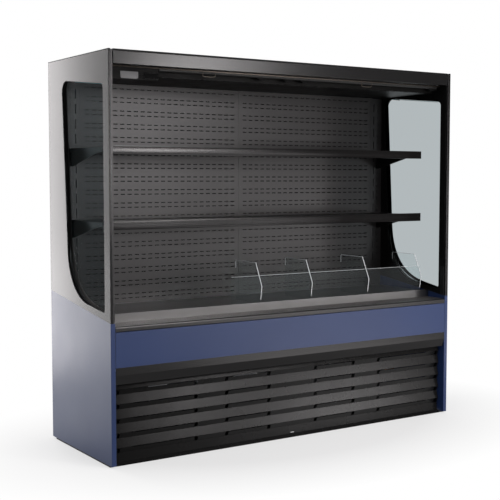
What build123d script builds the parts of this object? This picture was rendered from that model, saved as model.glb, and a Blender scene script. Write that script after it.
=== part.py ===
"""Open multideck display fridge, modelled as the separate pieces it is put together from.

Millimetres.  X runs along the case from left to right, the open front faces -Y, Z is up and
the floor is z = 0.  The origin lies on the floor under the middle of the case.
"""

import os
from math import cos, radians, sin, tan

from build123d import *

os.makedirs("parts", exist_ok=True)

# ---------------------------------------------------------------- driving dimensions
# Whole case
case_width = 2200.0
case_depth = 730.0
case_height = 2008.0
skid_height = 8.0
skid_front_setback = 25.0
skid_rear_setback = 42.0
skid_inset = 2.0
end_thickness = 24.0
sheet = 1.5  # folded sheet metal
seat_gap = 0.3  # between pieces that are put together
edge_radius = 2.0

# End panels and their windows
split_height_front = 703.0  # joint between the lower and the upper end panel
split_rise = 98.5  # the joint climbs towards the rear
liner_thickness = 12.0
liner_top_step = 4.0
window_front_setback = 63.0
window_rear_foot = 489.0  # from the front of the case
window_rear_head = 556.0
window_sill_front = 36.5  # above the joint
window_sill_rear = 28.0
window_head_front = 159.5  # below the top of the case
window_head_rear = 109.0
window_corner_radii = (13.0, 26.0, 55.0, 265.0)
glass_thickness = 6.0
glass_rebate = 8.0  # how far the glass reaches behind the liner
trim_width = 9.0
trim_depth = 10.0
corner_trim_width = 28.0
corner_trim_height = 170.0
corner_trim_lift = 21.0  # above the nosing
corner_trim_round = 12.0
corner_trim_setback = 9.0
corner_trim_thickness = 3.0

# Front skin, from the top down
nosing_top = 687.0
nosing_top_round = 9.0
nosing_foot_round = 3.0
nosing_height = 26.0
nosing_depth = 15.5
front_panel_step = 2.0  # shadow line under the nosing
front_panel_height = 172.0
skin_depth = 14.4
valance_height = 38.0
valance_skirt = 45.0
valance_lean = 10.0
panel_gap = 2.0  # shadow line between the skin and the end panels

# Insulated body
wall_insulation = 40.0
rear_wall_thickness = 50.0
tub_rim_step = 6.0  # below the nosing
tub_depth = 140.0
tub_fall = 10.0  # the floor drains towards the front
tub_round = 20.0
tub_insulation = 45.0
roof_thickness = 52.0
roof_step = 8.0  # the end panels stand above the roof
roof_front_setback = 66.0
wall_bevel = 5.0

# Louvred lower grille
grille_setback = 50.0
grille_side_gap = 9.0
grille_top_gap = 2.0
grille_rows = 5
louvre_pitch = 72.0
louvre_return = 28.0  # height of the narrow face under each ridge
louvre_proud = 11.0
top_ridge_drop = 28.0  # from the top of the sheet to the first ridge
grille_foot_height = 16.0
grille_foot_reach = 25.0
grille_foot_lean = 5.0
grille_floor_gap = 2.5
slit_height = 5.0
slit_end_margin = 97.0
slit_joints = (605.0, 420.0, 155.0)
relief_width = 20.0
relief_height = 24.0
relief_chamfer = 5.0
end_notch_width = 25.0
end_notch_margin = 6.0
finger_slot_height = 4.0
finger_slot_lift = 5.0
notch_margin = 2.0
cut_lead = 3.0  # the cuts start behind the sheet and end beyond the ridges
grille_flange = 14.0

# Base frame and feet
frame_bottom = 30.0
rail_height = 60.0
rail_width = 40.0
rear_rail_inset = 15.0
floor_plate = 3.0
foot_radius = 22.0
foot_pad = 8.0
foot_stem_radius = 7.0
foot_end_margin = 76.0

# Return-air grille and deck
return_sections = 4
return_thickness = 2.0
return_rear_gap = 2.0
return_slot_setbacks = (44.5, 109.0)  # middle of each row of slots
return_slot_width = 20.0
return_slot_length = 84.0
return_slots = 5
deck_setback = 139.0
deck_step = 33.0  # above the nosing
deck_lip_height = 42.0
deck_hem = 10.0
deck_hem_fold = 3.5
deck_rear_flange = 25.0
deck_end_gap = 2.0
seam_gap = 1.0
deck_rail_height = 78.0
deck_rail_flange = 28.0
deck_rail_sheet = 2.0
ledge_reach = 22.0

# Back wall panels and uprights
duct_depth = 93.0
upright_face_width = 88.0
upright_rear_flange = 30.0
upright_foot = 20.0
centre_upright_width = 60.0
panel_foot_drop = 30.0  # the panels reach down behind the deck
slot_row_pitch = 70.5
slot_row_drop = 22.5
slot_columns = 2
slot_height = 4.0
slot_web = 20.0
bracket_slot_height = 49.0
bracket_slot_pitch = 78.0
bracket_slot_width = 5.0
bracket_slot_inset = 23.0
bracket_slot_drop = 60.0

# Shelves
shelf_depth = 404.0
shelf_end_gap = 31.0
rail_depth = 12.0
top_shelf_height = 1553.0
top_rail_drop = 38.0
top_rail_rise = 6.0
lower_shelf_height = 1181.0
lower_rail_drop = 39.5
lower_rail_rise = 8.0
shelf_side_flange = 18.0
shelf_rear_flange = 24.0
rail_cap = 4.0
cap_round = 4.0
groove_depth = 3.0
bracket_inset = 8.0
bracket_thickness = 3.0
bracket_rear_height = 92.0
bracket_root = 28.0
bracket_taper = 300.0
bracket_nose_height = 28.0
bracket_nose_rise = 8.0

# Produce bin
acrylic = 3.0
bin_length = 1338.0
bin_end_gap = 66.0
bin_front_height = 155.0
bin_foot_reach = 28.0
divider_setbacks = (1155.0, 817.0, 411.0, 7.0)  # from the right end of the bin
divider_height = 223.0
divider_top_setback = 48.0  # from the front of the deck
divider_overhang = 12.0
divider_nose_height = 98.0
divider_chin_height = 25.0
divider_length = 249.0
divider_round = 8.0

# Canopy
fascia_step = 10.0  # below the top of the case
fascia_height = 58.0
fascia_depth = 12.0
cover_depth = 125.0
cover_front_fold = 4.0
cover_bevel = 2.0
ceiling_drop = 40.0  # below the fascia
ceiling_fold = 12.0
honeycomb_setback = 119.0
honeycomb_depth = 30.0
honeycomb_height = 25.0
honeycomb_cells = 20
honeycomb_wall = 6.0
cassette_depth = 51.0
cassette_height = 56.0
cassette_end = 5.0
roller_radius = 20.0
roller_setback = 25.5  # from the front of the cassette
roller_lift = 29.0  # above the bottom of the cassette
roller_end_gap = 4.0
roller_pin_radius = 5.0
pin_end_space = 1.0  # between each pin and the liner
pin_clearance = 0.05
pin_bore_margin = 2.5  # on each side of the rocker
blind_thickness = 0.5
blind_side_hem = 6.0
bar_height = 8.7
bar_depth = 8.0
bar_end_gap = 8.0
handle_width = 80.0
handle_drop = 26.0
handle_band = 6.0
handle_corner = 14.0
handle_depth = 5.0
handle_centre = 514.0
light_depth = 20.0
light_height = 16.0
light_setback = 6.0
light_chamfer = 4.0
light_end_gap = 15.0

# Controller housing under the canopy
housing_width = 277.7
housing_setback = 67.0
housing_depth = 48.0
housing_height = 64.0
housing_rear_rise = 24.0
plate_offset = 70.7  # from the left end of the housing
plate_width = 95.0
plate_round = 9.0
display_round = 2.0
plate_lift = 3.0
plate_height = 34.0
plate_thickness = 1.5
display_offset = 197.7
display_width = 79.5
switch_offset = 184.7
switch_lift = 15.0
switch_width = 20.0
switch_half_height = 8.0
switch_angle = 14.0
switch_pivot_depth = 5.0
switch_tail = 3.0  # behind the pivot
switch_pin_radius = 1.5
switch_swing_room = 1.8
pocket_depth = 14.0

# Cold side under the deck
fan_radius = 62.0
fan_hub_radius = 26.0
fan_hub_length = 20.0
fan_lead = 6.0  # the blades' middle in front of the plenum
fan_blades = 5
fan_blade_pitch = 32.0
blade_thickness = 3.0
fan_end_space = 376.0
fan_drop = 110.5  # axis below the deck
fan_opening_gap = 5.0
fan_plane_setback = 295.0
plenum_sheet = 2.0
plenum_rear_gap = 2.0
motor_radius = 30.0
motor_length = 45.0
motor_setback = 22.0
shaft_radius = 4.0
strap_width = 16.0
strap_thickness = 3.0
strap_setback = 10.0
coil_setback = 370.0
coil_side_space = 175.0
coil_depth = 190.0
coil_height = 120.0
coil_plate = 2.0
coil_plate_margin = 6.0  # in front of the fins and behind them
coil_plate_rise = 10.0  # above the fins
bend_inset = 30.0
bend_width = 12.0
bend_reach = 14.0

# Machine space
condenser_width = 460.0
condenser_height = 280.0
condenser_depth = 60.0
condenser_margin = 5.0  # of its end plates, before and behind
condenser_rise = 6.0  # of its end plates above the fins
condenser_setback = 120.0
condenser_end_space = 366.0
condenser_fan_radius = 115.0
condenser_hub_radius = 46.0
condenser_hub_length = 26.0
condenser_fan_proud = 2.0  # of the shroud
condenser_motor_radius = 42.0
condenser_motor_length = 60.0
condenser_motor_gap = 12.0
shroud_depth = 40.0
shroud_sheet = 2.0
compressor_end_space = 256.0
compressor_rear_space = 335.0
compressor_radius = 85.0
compressor_height = 220.0
compressor_foot = 14.0
shell_sides = 24
shell_shoulder = 30.0
tube_radius = 5.0
tube_bend = 20.0
suction_drop = 45.0  # below the tub
suction_run = 120.0
discharge_height = 165.0  # above the foot of the shell
liquid_lead = 60.0
liquid_height = 60.0
liquid_line_space = 215.0
box_length = 260.0
box_depth = 160.0
box_height = 200.0
box_chamfer = 3.0
box_end_space = 256.0
box_rear_space = 245.0
tray_length = 520.0
tray_depth = 300.0
tray_height = 60.0
tray_wall = 2.0
tray_end_space = 776.0
tray_rear_space = 255.0
vent_banks = 3
vent_louvres = 6
vent_pitch = 45.0
vent_bank_pitch = 620.0
vent_length = 420.0
vent_height = 14.0
gland_end_space = 96.0
gland_lift = 50.0
gland_radius = 13.0
gland_length = 10.0
cord_radius = 6.0
vent_margin = 10.0  # above and below the rear vent cover

# ---------------------------------------------------------------- derived planes
half_width = case_width / 2
case_front = -case_depth / 2
case_rear = case_depth / 2
inner_x = half_width - end_thickness
clear_x = inner_x - seat_gap
liner_outer = inner_x + liner_thickness
liner_top = case_height - liner_top_step
skin_half = inner_x - panel_gap
skin_back = case_front + skin_depth
nosing_bottom = nosing_top - nosing_height
front_panel_top = nosing_bottom - front_panel_step
front_panel_bottom = front_panel_top - front_panel_height
valance_top = front_panel_bottom - seat_gap
valance_fold = valance_top - valance_height
valance_bottom = valance_fold - valance_skirt
tub_front = skin_back + seat_gap
tub_inner_front = tub_front + wall_insulation
tub_rim = nosing_bottom - tub_rim_step
tub_floor = tub_rim - tub_depth
tub_bottom = tub_floor - tub_insulation
wall_inner = case_rear - rear_wall_thickness
roof_top = case_height - roof_step
roof_bottom = roof_top - roof_thickness
grille_plane = case_front + grille_setback
grille_half = inner_x - grille_side_gap
grille_top = valance_bottom - grille_top_gap
frame_top = frame_bottom + rail_height
pan_top = frame_top + floor_plate
deck_front = case_front + deck_setback
deck_top = nosing_top + deck_step
deck_lip_bottom = deck_top + deck_hem - deck_lip_height
deck_seat = deck_top - sheet - seat_gap
back_face = wall_inner - duct_depth
pan_rear = back_face - sheet
panel_edge = inner_x - upright_face_width
shelf_half_length = inner_x - shelf_end_gap
shelf_front = back_face - shelf_depth
bracket_x = shelf_half_length - bracket_inset
fascia_top = case_height - fascia_step
soffit = fascia_top - fascia_height
ceiling_height = soffit - ceiling_drop
panel_top = ceiling_height - 2
honeycomb_front = case_front + honeycomb_setback
honeycomb_rear = honeycomb_front + honeycomb_depth
cassette_front = case_front + fascia_depth + seat_gap
cassette_rear = cassette_front + cassette_depth
cassette_bottom = soffit + 1
roller_axis_y = cassette_front + roller_setback
roller_axis_z = cassette_bottom + roller_lift
blind_y = roller_axis_y + roller_radius + seat_gap + blind_thickness / 2
bar_half_length = inner_x - bar_end_gap
handle_top = cassette_bottom - seat_gap - bar_height
housing_left = -clear_x
housing_right = housing_left + housing_width
housing_front = case_front + housing_setback
housing_bottom = soffit - housing_height
fan_plane = case_front + fan_plane_setback
fan_axis_z = deck_top - fan_drop
coil_front = case_front + coil_setback
coil_length = 2 * (clear_x - coil_side_space)

pieces = {}


def keep(name, builder):
    """Label a finished piece and write it to its own STEP file."""
    builder.part.label = name
    export_step(builder.part, f"parts/{name}.step")
    pieces[name] = builder.part


def slab(plane, corners, thickness, both=False):
    """Extrude the closed outline through the corners, from the given plane."""
    with BuildPart() as made:
        with BuildSketch(plane):
            with BuildLine():
                Polyline(*corners, close=True)
            make_face()
        extrude(amount=thickness, both=both)
    return made


def folded(path, thickness=sheet):
    """Corners of a thin folded sheet whose outer face follows the path.

    The sheet lies to the left of the direction of travel.
    """
    outer = [Vector(*point) for point in path]
    steps = [(b - a).normalized() for a, b in zip(outer, outer[1:])]
    sides = [Vector(-step.Y, step.X) * thickness for step in steps]
    inner = [outer[0] + sides[0]]
    for corner, before, after in zip(outer[1:-1], sides, sides[1:]):
        middle = before + after
        inner.append(corner + middle * (2 * thickness**2 / middle.dot(middle)))
    inner.append(outer[-1] + sides[-1])
    return [(p.X, p.Y) for p in outer + inner[::-1]]


# ================================================================ end assemblies


def split_line(y):
    """Height of the sloping joint between the lower and the upper end panel."""
    return split_height_front + split_rise * (y - case_front) / case_depth


def window_outline(margin=0.0):
    """Corners (y, z) of the side window, moved outward by a margin."""
    front = case_front + window_front_setback - margin
    foot = case_front + window_rear_foot + margin
    head = case_front + window_rear_head + margin
    return (
        (front, split_line(front + margin) + window_sill_front - margin),
        (front, case_height - window_head_front + margin),
        (head, case_height - window_head_rear + margin),
        (foot, split_line(foot - margin) + window_sill_rear - margin),
    )


def window_radii(margin=0.0):
    """Corner radii of the window outline, in the order of its corners."""
    return [radius + margin for radius in window_corner_radii]


def upper_outline(front, rear, top):
    """Outline (y, z) of what stands on the sloping joint."""
    return (
        (front, split_line(front) + seat_gap),
        (rear, split_line(rear) + seat_gap),
        (rear, top),
        (front, top),
    )


def side_x(side, inner, outer):
    """Smaller x of a layer between two distances from the middle."""
    return inner if side > 0 else -outer


def lower_end_panel(side):
    """Insulated lower end panel with softened outer edges."""
    with BuildPart() as panel:
        with BuildSketch(Plane.YZ.offset(side_x(side, inner_x, half_width))):
            with BuildLine():
                Polyline(
                    (case_front, skid_height),
                    (case_rear, skid_height),
                    (case_rear, split_line(case_rear)),
                    (case_front, split_height_front),
                    close=True,
                )
            make_face()
        extrude(amount=end_thickness)
        outer = panel.faces().sort_by(Axis.X)[-1 if side > 0 else 0]
        fillet(outer.edges().sort_by(Axis.Y)[0], edge_radius)
    return panel


def upper_end_panel(side):
    """Outer skin of the upper end with its window."""
    plane = Plane.YZ.offset(side_x(side, liner_outer, half_width))
    skin = end_thickness - liner_thickness
    with BuildPart() as panel:
        with BuildSketch(plane):
            with BuildLine():
                Polyline(*upper_outline(case_front, case_rear, case_height), close=True)
            make_face()
        extrude(amount=skin)
        outer = panel.faces().sort_by(Axis.X)[-1 if side > 0 else 0]
        fillet(outer.edges().sort_by(Axis.Y)[0], edge_radius)
        with BuildSketch(plane):
            with BuildLine():
                FilletPolyline(*window_outline(), radius=window_radii(), close=True)
            make_face()
        extrude(amount=skin, mode=Mode.SUBTRACT)
    return panel


def end_liner(side):
    """Inner liner of the upper end, rebated for the glass from the inside."""
    rebate = glass_thickness + 4 * seat_gap
    inner_plane = Plane.YZ.offset(side * inner_x)
    front = case_front + trim_depth + seat_gap
    with BuildPart() as liner:
        with BuildSketch(Plane.YZ.offset(side_x(side, inner_x, liner_outer))):
            with BuildLine():
                Polyline(*upper_outline(front, case_rear, liner_top), close=True)
            make_face()
        extrude(amount=liner_thickness)
        with BuildSketch(inner_plane):
            with BuildLine():
                FilletPolyline(*window_outline(), radius=window_radii(), close=True)
            make_face()
        extrude(amount=side * liner_thickness, mode=Mode.SUBTRACT)
        with BuildSketch(inner_plane):
            with BuildLine():
                FilletPolyline(
                    *window_outline(glass_rebate), radius=window_radii(glass_rebate), close=True
                )
            make_face()
        extrude(amount=side * rebate, mode=Mode.SUBTRACT)
    return liner


def side_glass(side):
    """Glass pane seated in the rebate of the liner."""
    nearest = inner_x + 3 * seat_gap
    with BuildPart() as pane:
        with BuildSketch(Plane.YZ.offset(side * nearest)):
            reach = glass_rebate - seat_gap
            with BuildLine():
                FilletPolyline(*window_outline(reach), radius=window_radii(reach), close=True)
            make_face()
        extrude(amount=side * glass_thickness)
    return pane


def edge_trim(side):
    """Bright upright strip in front of the liner."""
    outer = liner_outer
    inner = liner_outer - trim_width
    with BuildPart() as trim:
        with BuildSketch(Plane.YZ.offset(side_x(side, inner, outer))):
            with BuildLine():
                Polyline(
                    *upper_outline(case_front, case_front + trim_depth, liner_top),
                    close=True,
                )
            make_face()
        extrude(amount=trim_width)
        fillet(trim.edges().filter_by(Axis.Z).group_by(Axis.Y)[0], 1.0)
    return trim


def both_ends(make):
    """The left and the right copy of a piece, as the two solids of one node."""
    with BuildPart() as pair:
        add(make(-1).part)
        add(make(1).part)
    return pair


for side, hand in ((-1, "left"), (1, "right")):
    keep(f"{hand}_lower_end_panel", lower_end_panel(side))
    keep(f"{hand}_upper_end_panel", upper_end_panel(side))
keep("end_liners", both_ends(end_liner))
keep("side_glass", both_ends(side_glass))
keep("edge_trims", both_ends(edge_trim))

# Dark strip under each end panel, set back from its edges
skid_length = case_depth - skid_front_setback - skid_rear_setback
with BuildPart() as floor_skids:
    skid_middle = case_front + skid_front_setback + skid_length / 2
    with BuildSketch():
        with Locations(
            (half_width - end_thickness / 2, skid_middle),
            (end_thickness / 2 - half_width, skid_middle),
        ):
            Rectangle(end_thickness - 2 * skid_inset, skid_length)
    extrude(amount=skid_height)
keep("floor_skids", floor_skids)

# ================================================================ base frame and feet

front_rail_y = grille_plane + grille_flange + seat_gap + rail_width / 2
rear_rail_y = case_rear - rear_rail_inset - rail_width / 2
rail_middle_y = (front_rail_y + rear_rail_y) / 2
rail_gap = rear_rail_y - front_rail_y
with BuildPart() as base_frame:
    # Two long tubes joined by four cross tubes
    with BuildSketch(Plane.XY.offset(frame_bottom)):
        with Locations((0, front_rail_y), (0, rear_rail_y)):
            Rectangle(2 * clear_x, rail_width)
        with Locations((0, rail_middle_y)):
            with GridLocations((2 * clear_x - rail_width) / 3, 0, 4, 1):
                Rectangle(rail_width, rail_gap)
    extrude(amount=rail_height)
    # Floor plate of the machine space
    with BuildSketch(Plane.XY.offset(frame_top)):
        with Locations((0, rail_middle_y)):
            Rectangle(2 * clear_x, rail_gap + rail_width)
    extrude(amount=floor_plate)
    # Posts that carry the insulated tub
    with BuildSketch(Plane.XY.offset(pan_top)):
        for post_y in (front_rail_y, rear_rail_y):
            for post_x in (rail_width / 2 - clear_x, 0, clear_x - rail_width / 2):
                with Locations((post_x, post_y)):
                    Rectangle(rail_width, rail_width)
    extrude(amount=tub_bottom - pan_top)
keep("base_frame", base_frame)

with BuildPart() as levelling_feet:
    with BuildSketch():
        with Locations((0, rail_middle_y)):
            with GridLocations(inner_x - foot_end_margin, rail_gap, 3, 2):
                RegularPolygon(foot_radius, 12)
    extrude(amount=foot_pad)
    with BuildSketch(Plane.XY.offset(foot_pad)):
        with Locations((0, rail_middle_y)):
            with GridLocations(inner_x - foot_end_margin, rail_gap, 3, 2):
                RegularPolygon(foot_stem_radius, 6)
    extrude(amount=frame_bottom - foot_pad)
keep("levelling_feet", levelling_feet)

# ================================================================ insulated body



def tub_floor_at(y):
    """Height of the sloping tub floor."""
    run = wall_inner - seat_gap - tub_inner_front
    return tub_floor + tub_fall * (y - tub_inner_front) / run


with BuildPart() as tub:
    with BuildSketch(Plane.YZ.offset(-clear_x)):
        with BuildLine():
            Polyline(
                (tub_front, tub_bottom),
                (wall_inner - seat_gap, tub_bottom),
                (wall_inner - seat_gap, tub_floor + tub_fall),
                (tub_inner_front, tub_floor),
                (tub_inner_front, tub_rim),
                (tub_front, tub_rim),
                close=True,
            )
        make_face()
    extrude(amount=2 * clear_x)
    fillet(tub.edges().filter_by(Axis.X).sort_by(Axis.Z)[2], tub_round)
keep("tub", tub)

with BuildPart() as rear_wall:
    with BuildSketch(Plane.YZ.offset(-clear_x)):
        with Locations((wall_inner, tub_bottom)):
            Rectangle(
                rear_wall_thickness,
                roof_bottom - seat_gap - tub_bottom,
                align=(Align.MIN, Align.MIN),
            )
    extrude(amount=2 * clear_x)
    chamfer(rear_wall.edges().filter_by(Axis.X).group_by(Axis.Y)[-1], wall_bevel)
keep("rear_wall", rear_wall)

roof_front = case_front + roof_front_setback
with BuildPart() as roof_panel:
    with BuildSketch(Plane.YZ.offset(-clear_x)):
        with BuildLine():
            Polyline(
                (roof_front, roof_bottom),
                (case_rear, roof_bottom),
                (case_rear, roof_top - wall_bevel),
                (case_rear - wall_bevel, roof_top),
                (roof_front, roof_top),
                close=True,
            )
        make_face()
    extrude(amount=2 * clear_x)
keep("roof_panel", roof_panel)

# Louvred sheet that closes the back of the machine space
vent_cover_height = tub_bottom - frame_top - 2 * vent_margin
vent_seat = rear_rail_y + rail_width / 2 + seat_gap
with BuildPart() as rear_vent_cover:
    with BuildSketch(Plane.XZ.offset(-vent_seat)):
        with Locations((0, frame_top + vent_margin + vent_cover_height / 2)):
            Rectangle(2 * clear_x, vent_cover_height)
            with GridLocations(vent_bank_pitch, vent_pitch, vent_banks, vent_louvres):
                Rectangle(vent_length, vent_height, mode=Mode.SUBTRACT)
    extrude(amount=-sheet)
keep("rear_vent_cover", rear_vent_cover)

# Inlet for the supply cable, a bare gland in the rear cover
with BuildPart() as cable_gland:
    with BuildSketch(Plane.XZ.offset(-(vent_seat + sheet + seat_gap))):
        with Locations((inner_x - gland_end_space, frame_top + gland_lift)):
            RegularPolygon(gland_radius, 6)
            RegularPolygon(cord_radius, 12, mode=Mode.SUBTRACT)
    extrude(amount=-gland_length)
keep("cable_gland", cable_gland)

# ================================================================ front skin

with BuildPart() as front_nosing:
    nosing = slab(
        Plane.YZ.offset(-skin_half),
        (
            (case_front, nosing_bottom),
            (case_front + nosing_depth, nosing_bottom),
            (case_front + nosing_depth, nosing_top),
            (case_front, nosing_top),
        ),
        2 * skin_half,
    )
    add(nosing.part)
    front_edges = front_nosing.edges().filter_by(Axis.X).group_by(Axis.Y)[0]
    fillet(front_edges.sort_by(Axis.Z)[-1], nosing_top_round)
    fillet(front_nosing.edges().filter_by(Axis.X).group_by(Axis.Z)[0].sort_by(Axis.Y)[0], nosing_foot_round)
keep("front_nosing", front_nosing)

keep(
    "front_panel",
    slab(
        Plane.YZ.offset(-skin_half),
        folded(
            (
                (skin_back, front_panel_top),
                (case_front, front_panel_top),
                (case_front, front_panel_bottom),
                (skin_back, front_panel_bottom),
            )
        ),
        2 * skin_half,
    ),
)

keep(
    "lower_valance",
    slab(
        Plane.YZ.offset(-skin_half),
        folded(
            (
                (skin_back, valance_top),
                (case_front, valance_top),
                (case_front, valance_fold),
                (case_front + valance_lean, valance_bottom),
                (grille_plane + sheet, valance_bottom),
            )
        ),
        2 * skin_half,
    ),
)

# ================================================================ louvred lower grille
# One folded sheet.  Each row has a broad face that leans out to a ridge and a narrow face
# that falls back under it; the slits lie right under the ridges, where the narrow face ends.

ridge_y = grille_plane - louvre_proud
ridges = [grille_top - top_ridge_drop - louvre_pitch * row for row in range(grille_rows)]
front_line = [(grille_plane, grille_top)]
for ridge in ridges:
    front_line += [(ridge_y, ridge), (grille_plane, ridge - louvre_return)]
front_line += [
    (grille_plane - grille_foot_lean, grille_foot_height),
    (grille_plane - grille_foot_lean - grille_foot_reach, grille_floor_gap),
]

with BuildPart() as lower_grille:
    face_sheet = slab(Plane.YZ.offset(-grille_half), folded(front_line), 2 * grille_half)
    add(face_sheet.part)
    # Side flanges follow the louvred line and run back to the posts
    flange_back = grille_plane + grille_flange
    flange_outline = [*front_line[:-1], (flange_back, grille_foot_height), (flange_back, grille_top)]
    for flange_x in (-grille_half, grille_half - sheet):
        add(slab(Plane.YZ.offset(flange_x), flange_outline, sheet).part)
    # Slits, in pairs of spans on each side of the middle
    cut_plane = Plane.XZ.offset(-grille_plane - cut_lead)
    outer_end = grille_half - slit_end_margin
    spans = (
        ((outer_end + slit_joints[0]) / 2, outer_end - slit_joints[0]),
        ((slit_joints[1] + slit_joints[2]) / 2, slit_joints[1] - slit_joints[2]),
    )
    with BuildSketch(cut_plane):
        for ridge in ridges:
            for middle, length in spans:
                with Locations(
                    (middle, ridge - slit_height / 2 - 1), (-middle, ridge - slit_height / 2 - 1)
                ):
                    Rectangle(length, slit_height)
    extrude(amount=louvre_proud + 2 * cut_lead, mode=Mode.SUBTRACT)
    # Arched relief cuts where the slits end
    with BuildSketch(cut_plane) as reliefs:
        for ridge in ridges:
            for joint in slit_joints:
                middle_z = ridge - 1 - relief_height / 2
                with Locations((joint, middle_z), (-joint, middle_z)):
                    Rectangle(relief_width, relief_height)
        chamfer(
            [v for v in reliefs.vertices() if any(abs(v.Y - (r - 1)) < 0.01 for r in ridges)],
            relief_chamfer,
        )
    extrude(amount=louvre_proud + 2 * cut_lead, mode=Mode.SUBTRACT)
    # Square notches at both ends of every narrow face
    notch_x = grille_half - end_notch_margin - end_notch_width / 2
    with BuildSketch(cut_plane):
        for ridge in ridges:
            middle_z = ridge - louvre_return / 2 - 1
            with Locations((notch_x, middle_z), (-notch_x, middle_z)):
                Rectangle(end_notch_width, louvre_return - 2 * notch_margin)
        with Locations((0, grille_foot_height + finger_slot_lift)):
            Rectangle(end_notch_width, finger_slot_height)
    extrude(amount=louvre_proud + 2 * cut_lead, mode=Mode.SUBTRACT)
keep("lower_grille", lower_grille)

# ================================================================ return air and deck

# Rail that carries the front of the deck pans, with a ledge for the return grille
rail_web = deck_front + sheet + 1
ledge_top = nosing_top - return_thickness - seat_gap
with BuildPart() as deck_rail:
    with BuildSketch(Plane.YZ.offset(-clear_x)):
        with Locations((rail_web, deck_seat)):
            Rectangle(deck_rail_sheet, deck_rail_height, align=(Align.MIN, Align.MAX))
            Rectangle(deck_rail_flange, deck_rail_sheet, align=(Align.MIN, Align.MAX))
        with Locations((rail_web, ledge_top)):
            Rectangle(ledge_reach, deck_rail_sheet, align=(Align.MAX, Align.MAX))
    extrude(amount=2 * clear_x)
keep("deck_rail", deck_rail)

return_front = case_front + nosing_depth + seat_gap
return_rear = deck_front - return_rear_gap
section_length = 2 * skin_half / return_sections
section_joints = [joint * section_length - skin_half for joint in range(1, return_sections)]
with BuildPart() as return_air_grilles:
    with BuildSketch(Plane.YZ.offset(-skin_half)):
        with BuildLine():
            Polyline(
                *folded(
                    (
                        (return_front, nosing_bottom),
                        (return_front, nosing_top),
                        (return_rear, nosing_top),
                    ),
                    -return_thickness,
                ),
                close=True,
            )
        make_face()
    extrude(amount=2 * skin_half)
    # Two rows of slots
    with BuildSketch(Plane.XY.offset(nosing_top - 2 * return_thickness)):
        for setback in return_slot_setbacks:
            with Locations((0, return_front + setback)):
                with GridLocations(section_length, 0, return_sections, 1):
                    with GridLocations(section_length / return_slots, 0, return_slots, 1):
                        Rectangle(return_slot_length, return_slot_width)
    extrude(amount=3 * return_thickness, mode=Mode.SUBTRACT)
    # Joints between the sections
    with BuildSketch(Plane.XY.offset(nosing_bottom - 1)):
        for joint in section_joints:
            with Locations((joint, case_front)):
                Rectangle(seam_gap, case_depth)
    extrude(amount=nosing_height + 2, mode=Mode.SUBTRACT)
keep("return_air_grilles", return_air_grilles)


def deck_pan(left, right):
    """Stainless pan with a hemmed front lip and a rear flange."""
    with BuildPart() as pan:
        with BuildSketch(Plane.YZ.offset(left)):
            with Locations((deck_front, deck_lip_bottom)):
                Rectangle(sheet, deck_lip_height, align=(Align.MIN, Align.MIN))
            with Locations((deck_front, deck_top + deck_hem)):
                Rectangle(deck_hem_fold, sheet, align=(Align.MIN, Align.MAX))
            with Locations((deck_front + deck_hem_fold, deck_top + deck_hem)):
                Rectangle(sheet, deck_hem + sheet, align=(Align.MAX, Align.MAX))
            with Locations((deck_front + deck_hem_fold - sheet, deck_top)):
                Rectangle(
                    pan_rear - deck_front - deck_hem_fold + sheet,
                    sheet,
                    align=(Align.MIN, Align.MAX),
                )
            with Locations((pan_rear, deck_top)):
                Rectangle(sheet, deck_rear_flange, align=(Align.MAX, Align.MAX))
        extrude(amount=right - left)
    return pan


keep("deck_pan_left", deck_pan(deck_end_gap - inner_x, -seam_gap / 2))
keep("deck_pan_right", deck_pan(seam_gap / 2, inner_x - deck_end_gap))

# Dark upright trims on the end liners beside the deck opening, rounded at the top
trim_middle = (
    case_front + corner_trim_setback + corner_trim_width / 2,
    nosing_top + corner_trim_lift + corner_trim_height / 2,
)
with BuildPart() as corner_trims:
    for trim_x, inward in ((-inner_x, 1), (inner_x, -1)):
        with BuildSketch(Plane.YZ.offset(trim_x)):
            with Locations(trim_middle):
                Rectangle(corner_trim_width, corner_trim_height)
        extrude(amount=inward * corner_trim_thickness)
    fillet(corner_trims.edges().filter_by(Axis.X).group_by(Axis.Z)[-1], corner_trim_round)
keep("corner_trims", corner_trims)

# ================================================================ back wall

upright_width = upright_face_width - seat_gap
upright_height = panel_top - tub_floor - upright_foot
bracket_slot_count = int((panel_top - bracket_slot_drop - deck_top) / bracket_slot_pitch)


def rear_upright(side):
    """Folded upright beside the back panels, with slots for the shelf brackets."""
    near = side * panel_edge
    with BuildPart() as upright:
        with BuildSketch(Plane.XY.offset(tub_floor + upright_foot)):
            with Locations((near + side * upright_width / 2, back_face + sheet / 2)):
                Rectangle(upright_width, sheet)
            depth = wall_inner - seat_gap - back_face
            with Locations((near + side * sheet / 2, back_face + depth / 2)):
                Rectangle(sheet, depth)
            with Locations((near + side * upright_rear_flange / 2, wall_inner - seat_gap - sheet / 2)):
                Rectangle(upright_rear_flange, sheet)
        extrude(amount=upright_height)
        column_height = bracket_slot_pitch * (bracket_slot_count - 1)
        column_middle = panel_top - bracket_slot_drop - column_height / 2
        with BuildSketch(Plane.XZ.offset(-back_face)):
            with Locations((near + side * bracket_slot_inset, column_middle)):
                with GridLocations(0, bracket_slot_pitch, 1, bracket_slot_count):
                    Rectangle(bracket_slot_width, bracket_slot_height)
        extrude(amount=-sheet, mode=Mode.SUBTRACT)
    return upright


with BuildPart() as rear_uprights:
    add(rear_upright(-1).part)
    add(rear_upright(1).part)
    # Channel behind the joint of the two back panels
    with BuildSketch(Plane.XY.offset(tub_floor + upright_foot)):
        depth = wall_inner - back_face - sheet - 2 * seat_gap
        with Locations((0, wall_inner - seat_gap - depth / 2)):
            Rectangle(centre_upright_width, depth)
            with Locations((0, sheet)):
                Rectangle(centre_upright_width - 2 * sheet, depth, mode=Mode.SUBTRACT)
    extrude(amount=upright_height)
keep("rear_uprights", rear_uprights)


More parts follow.
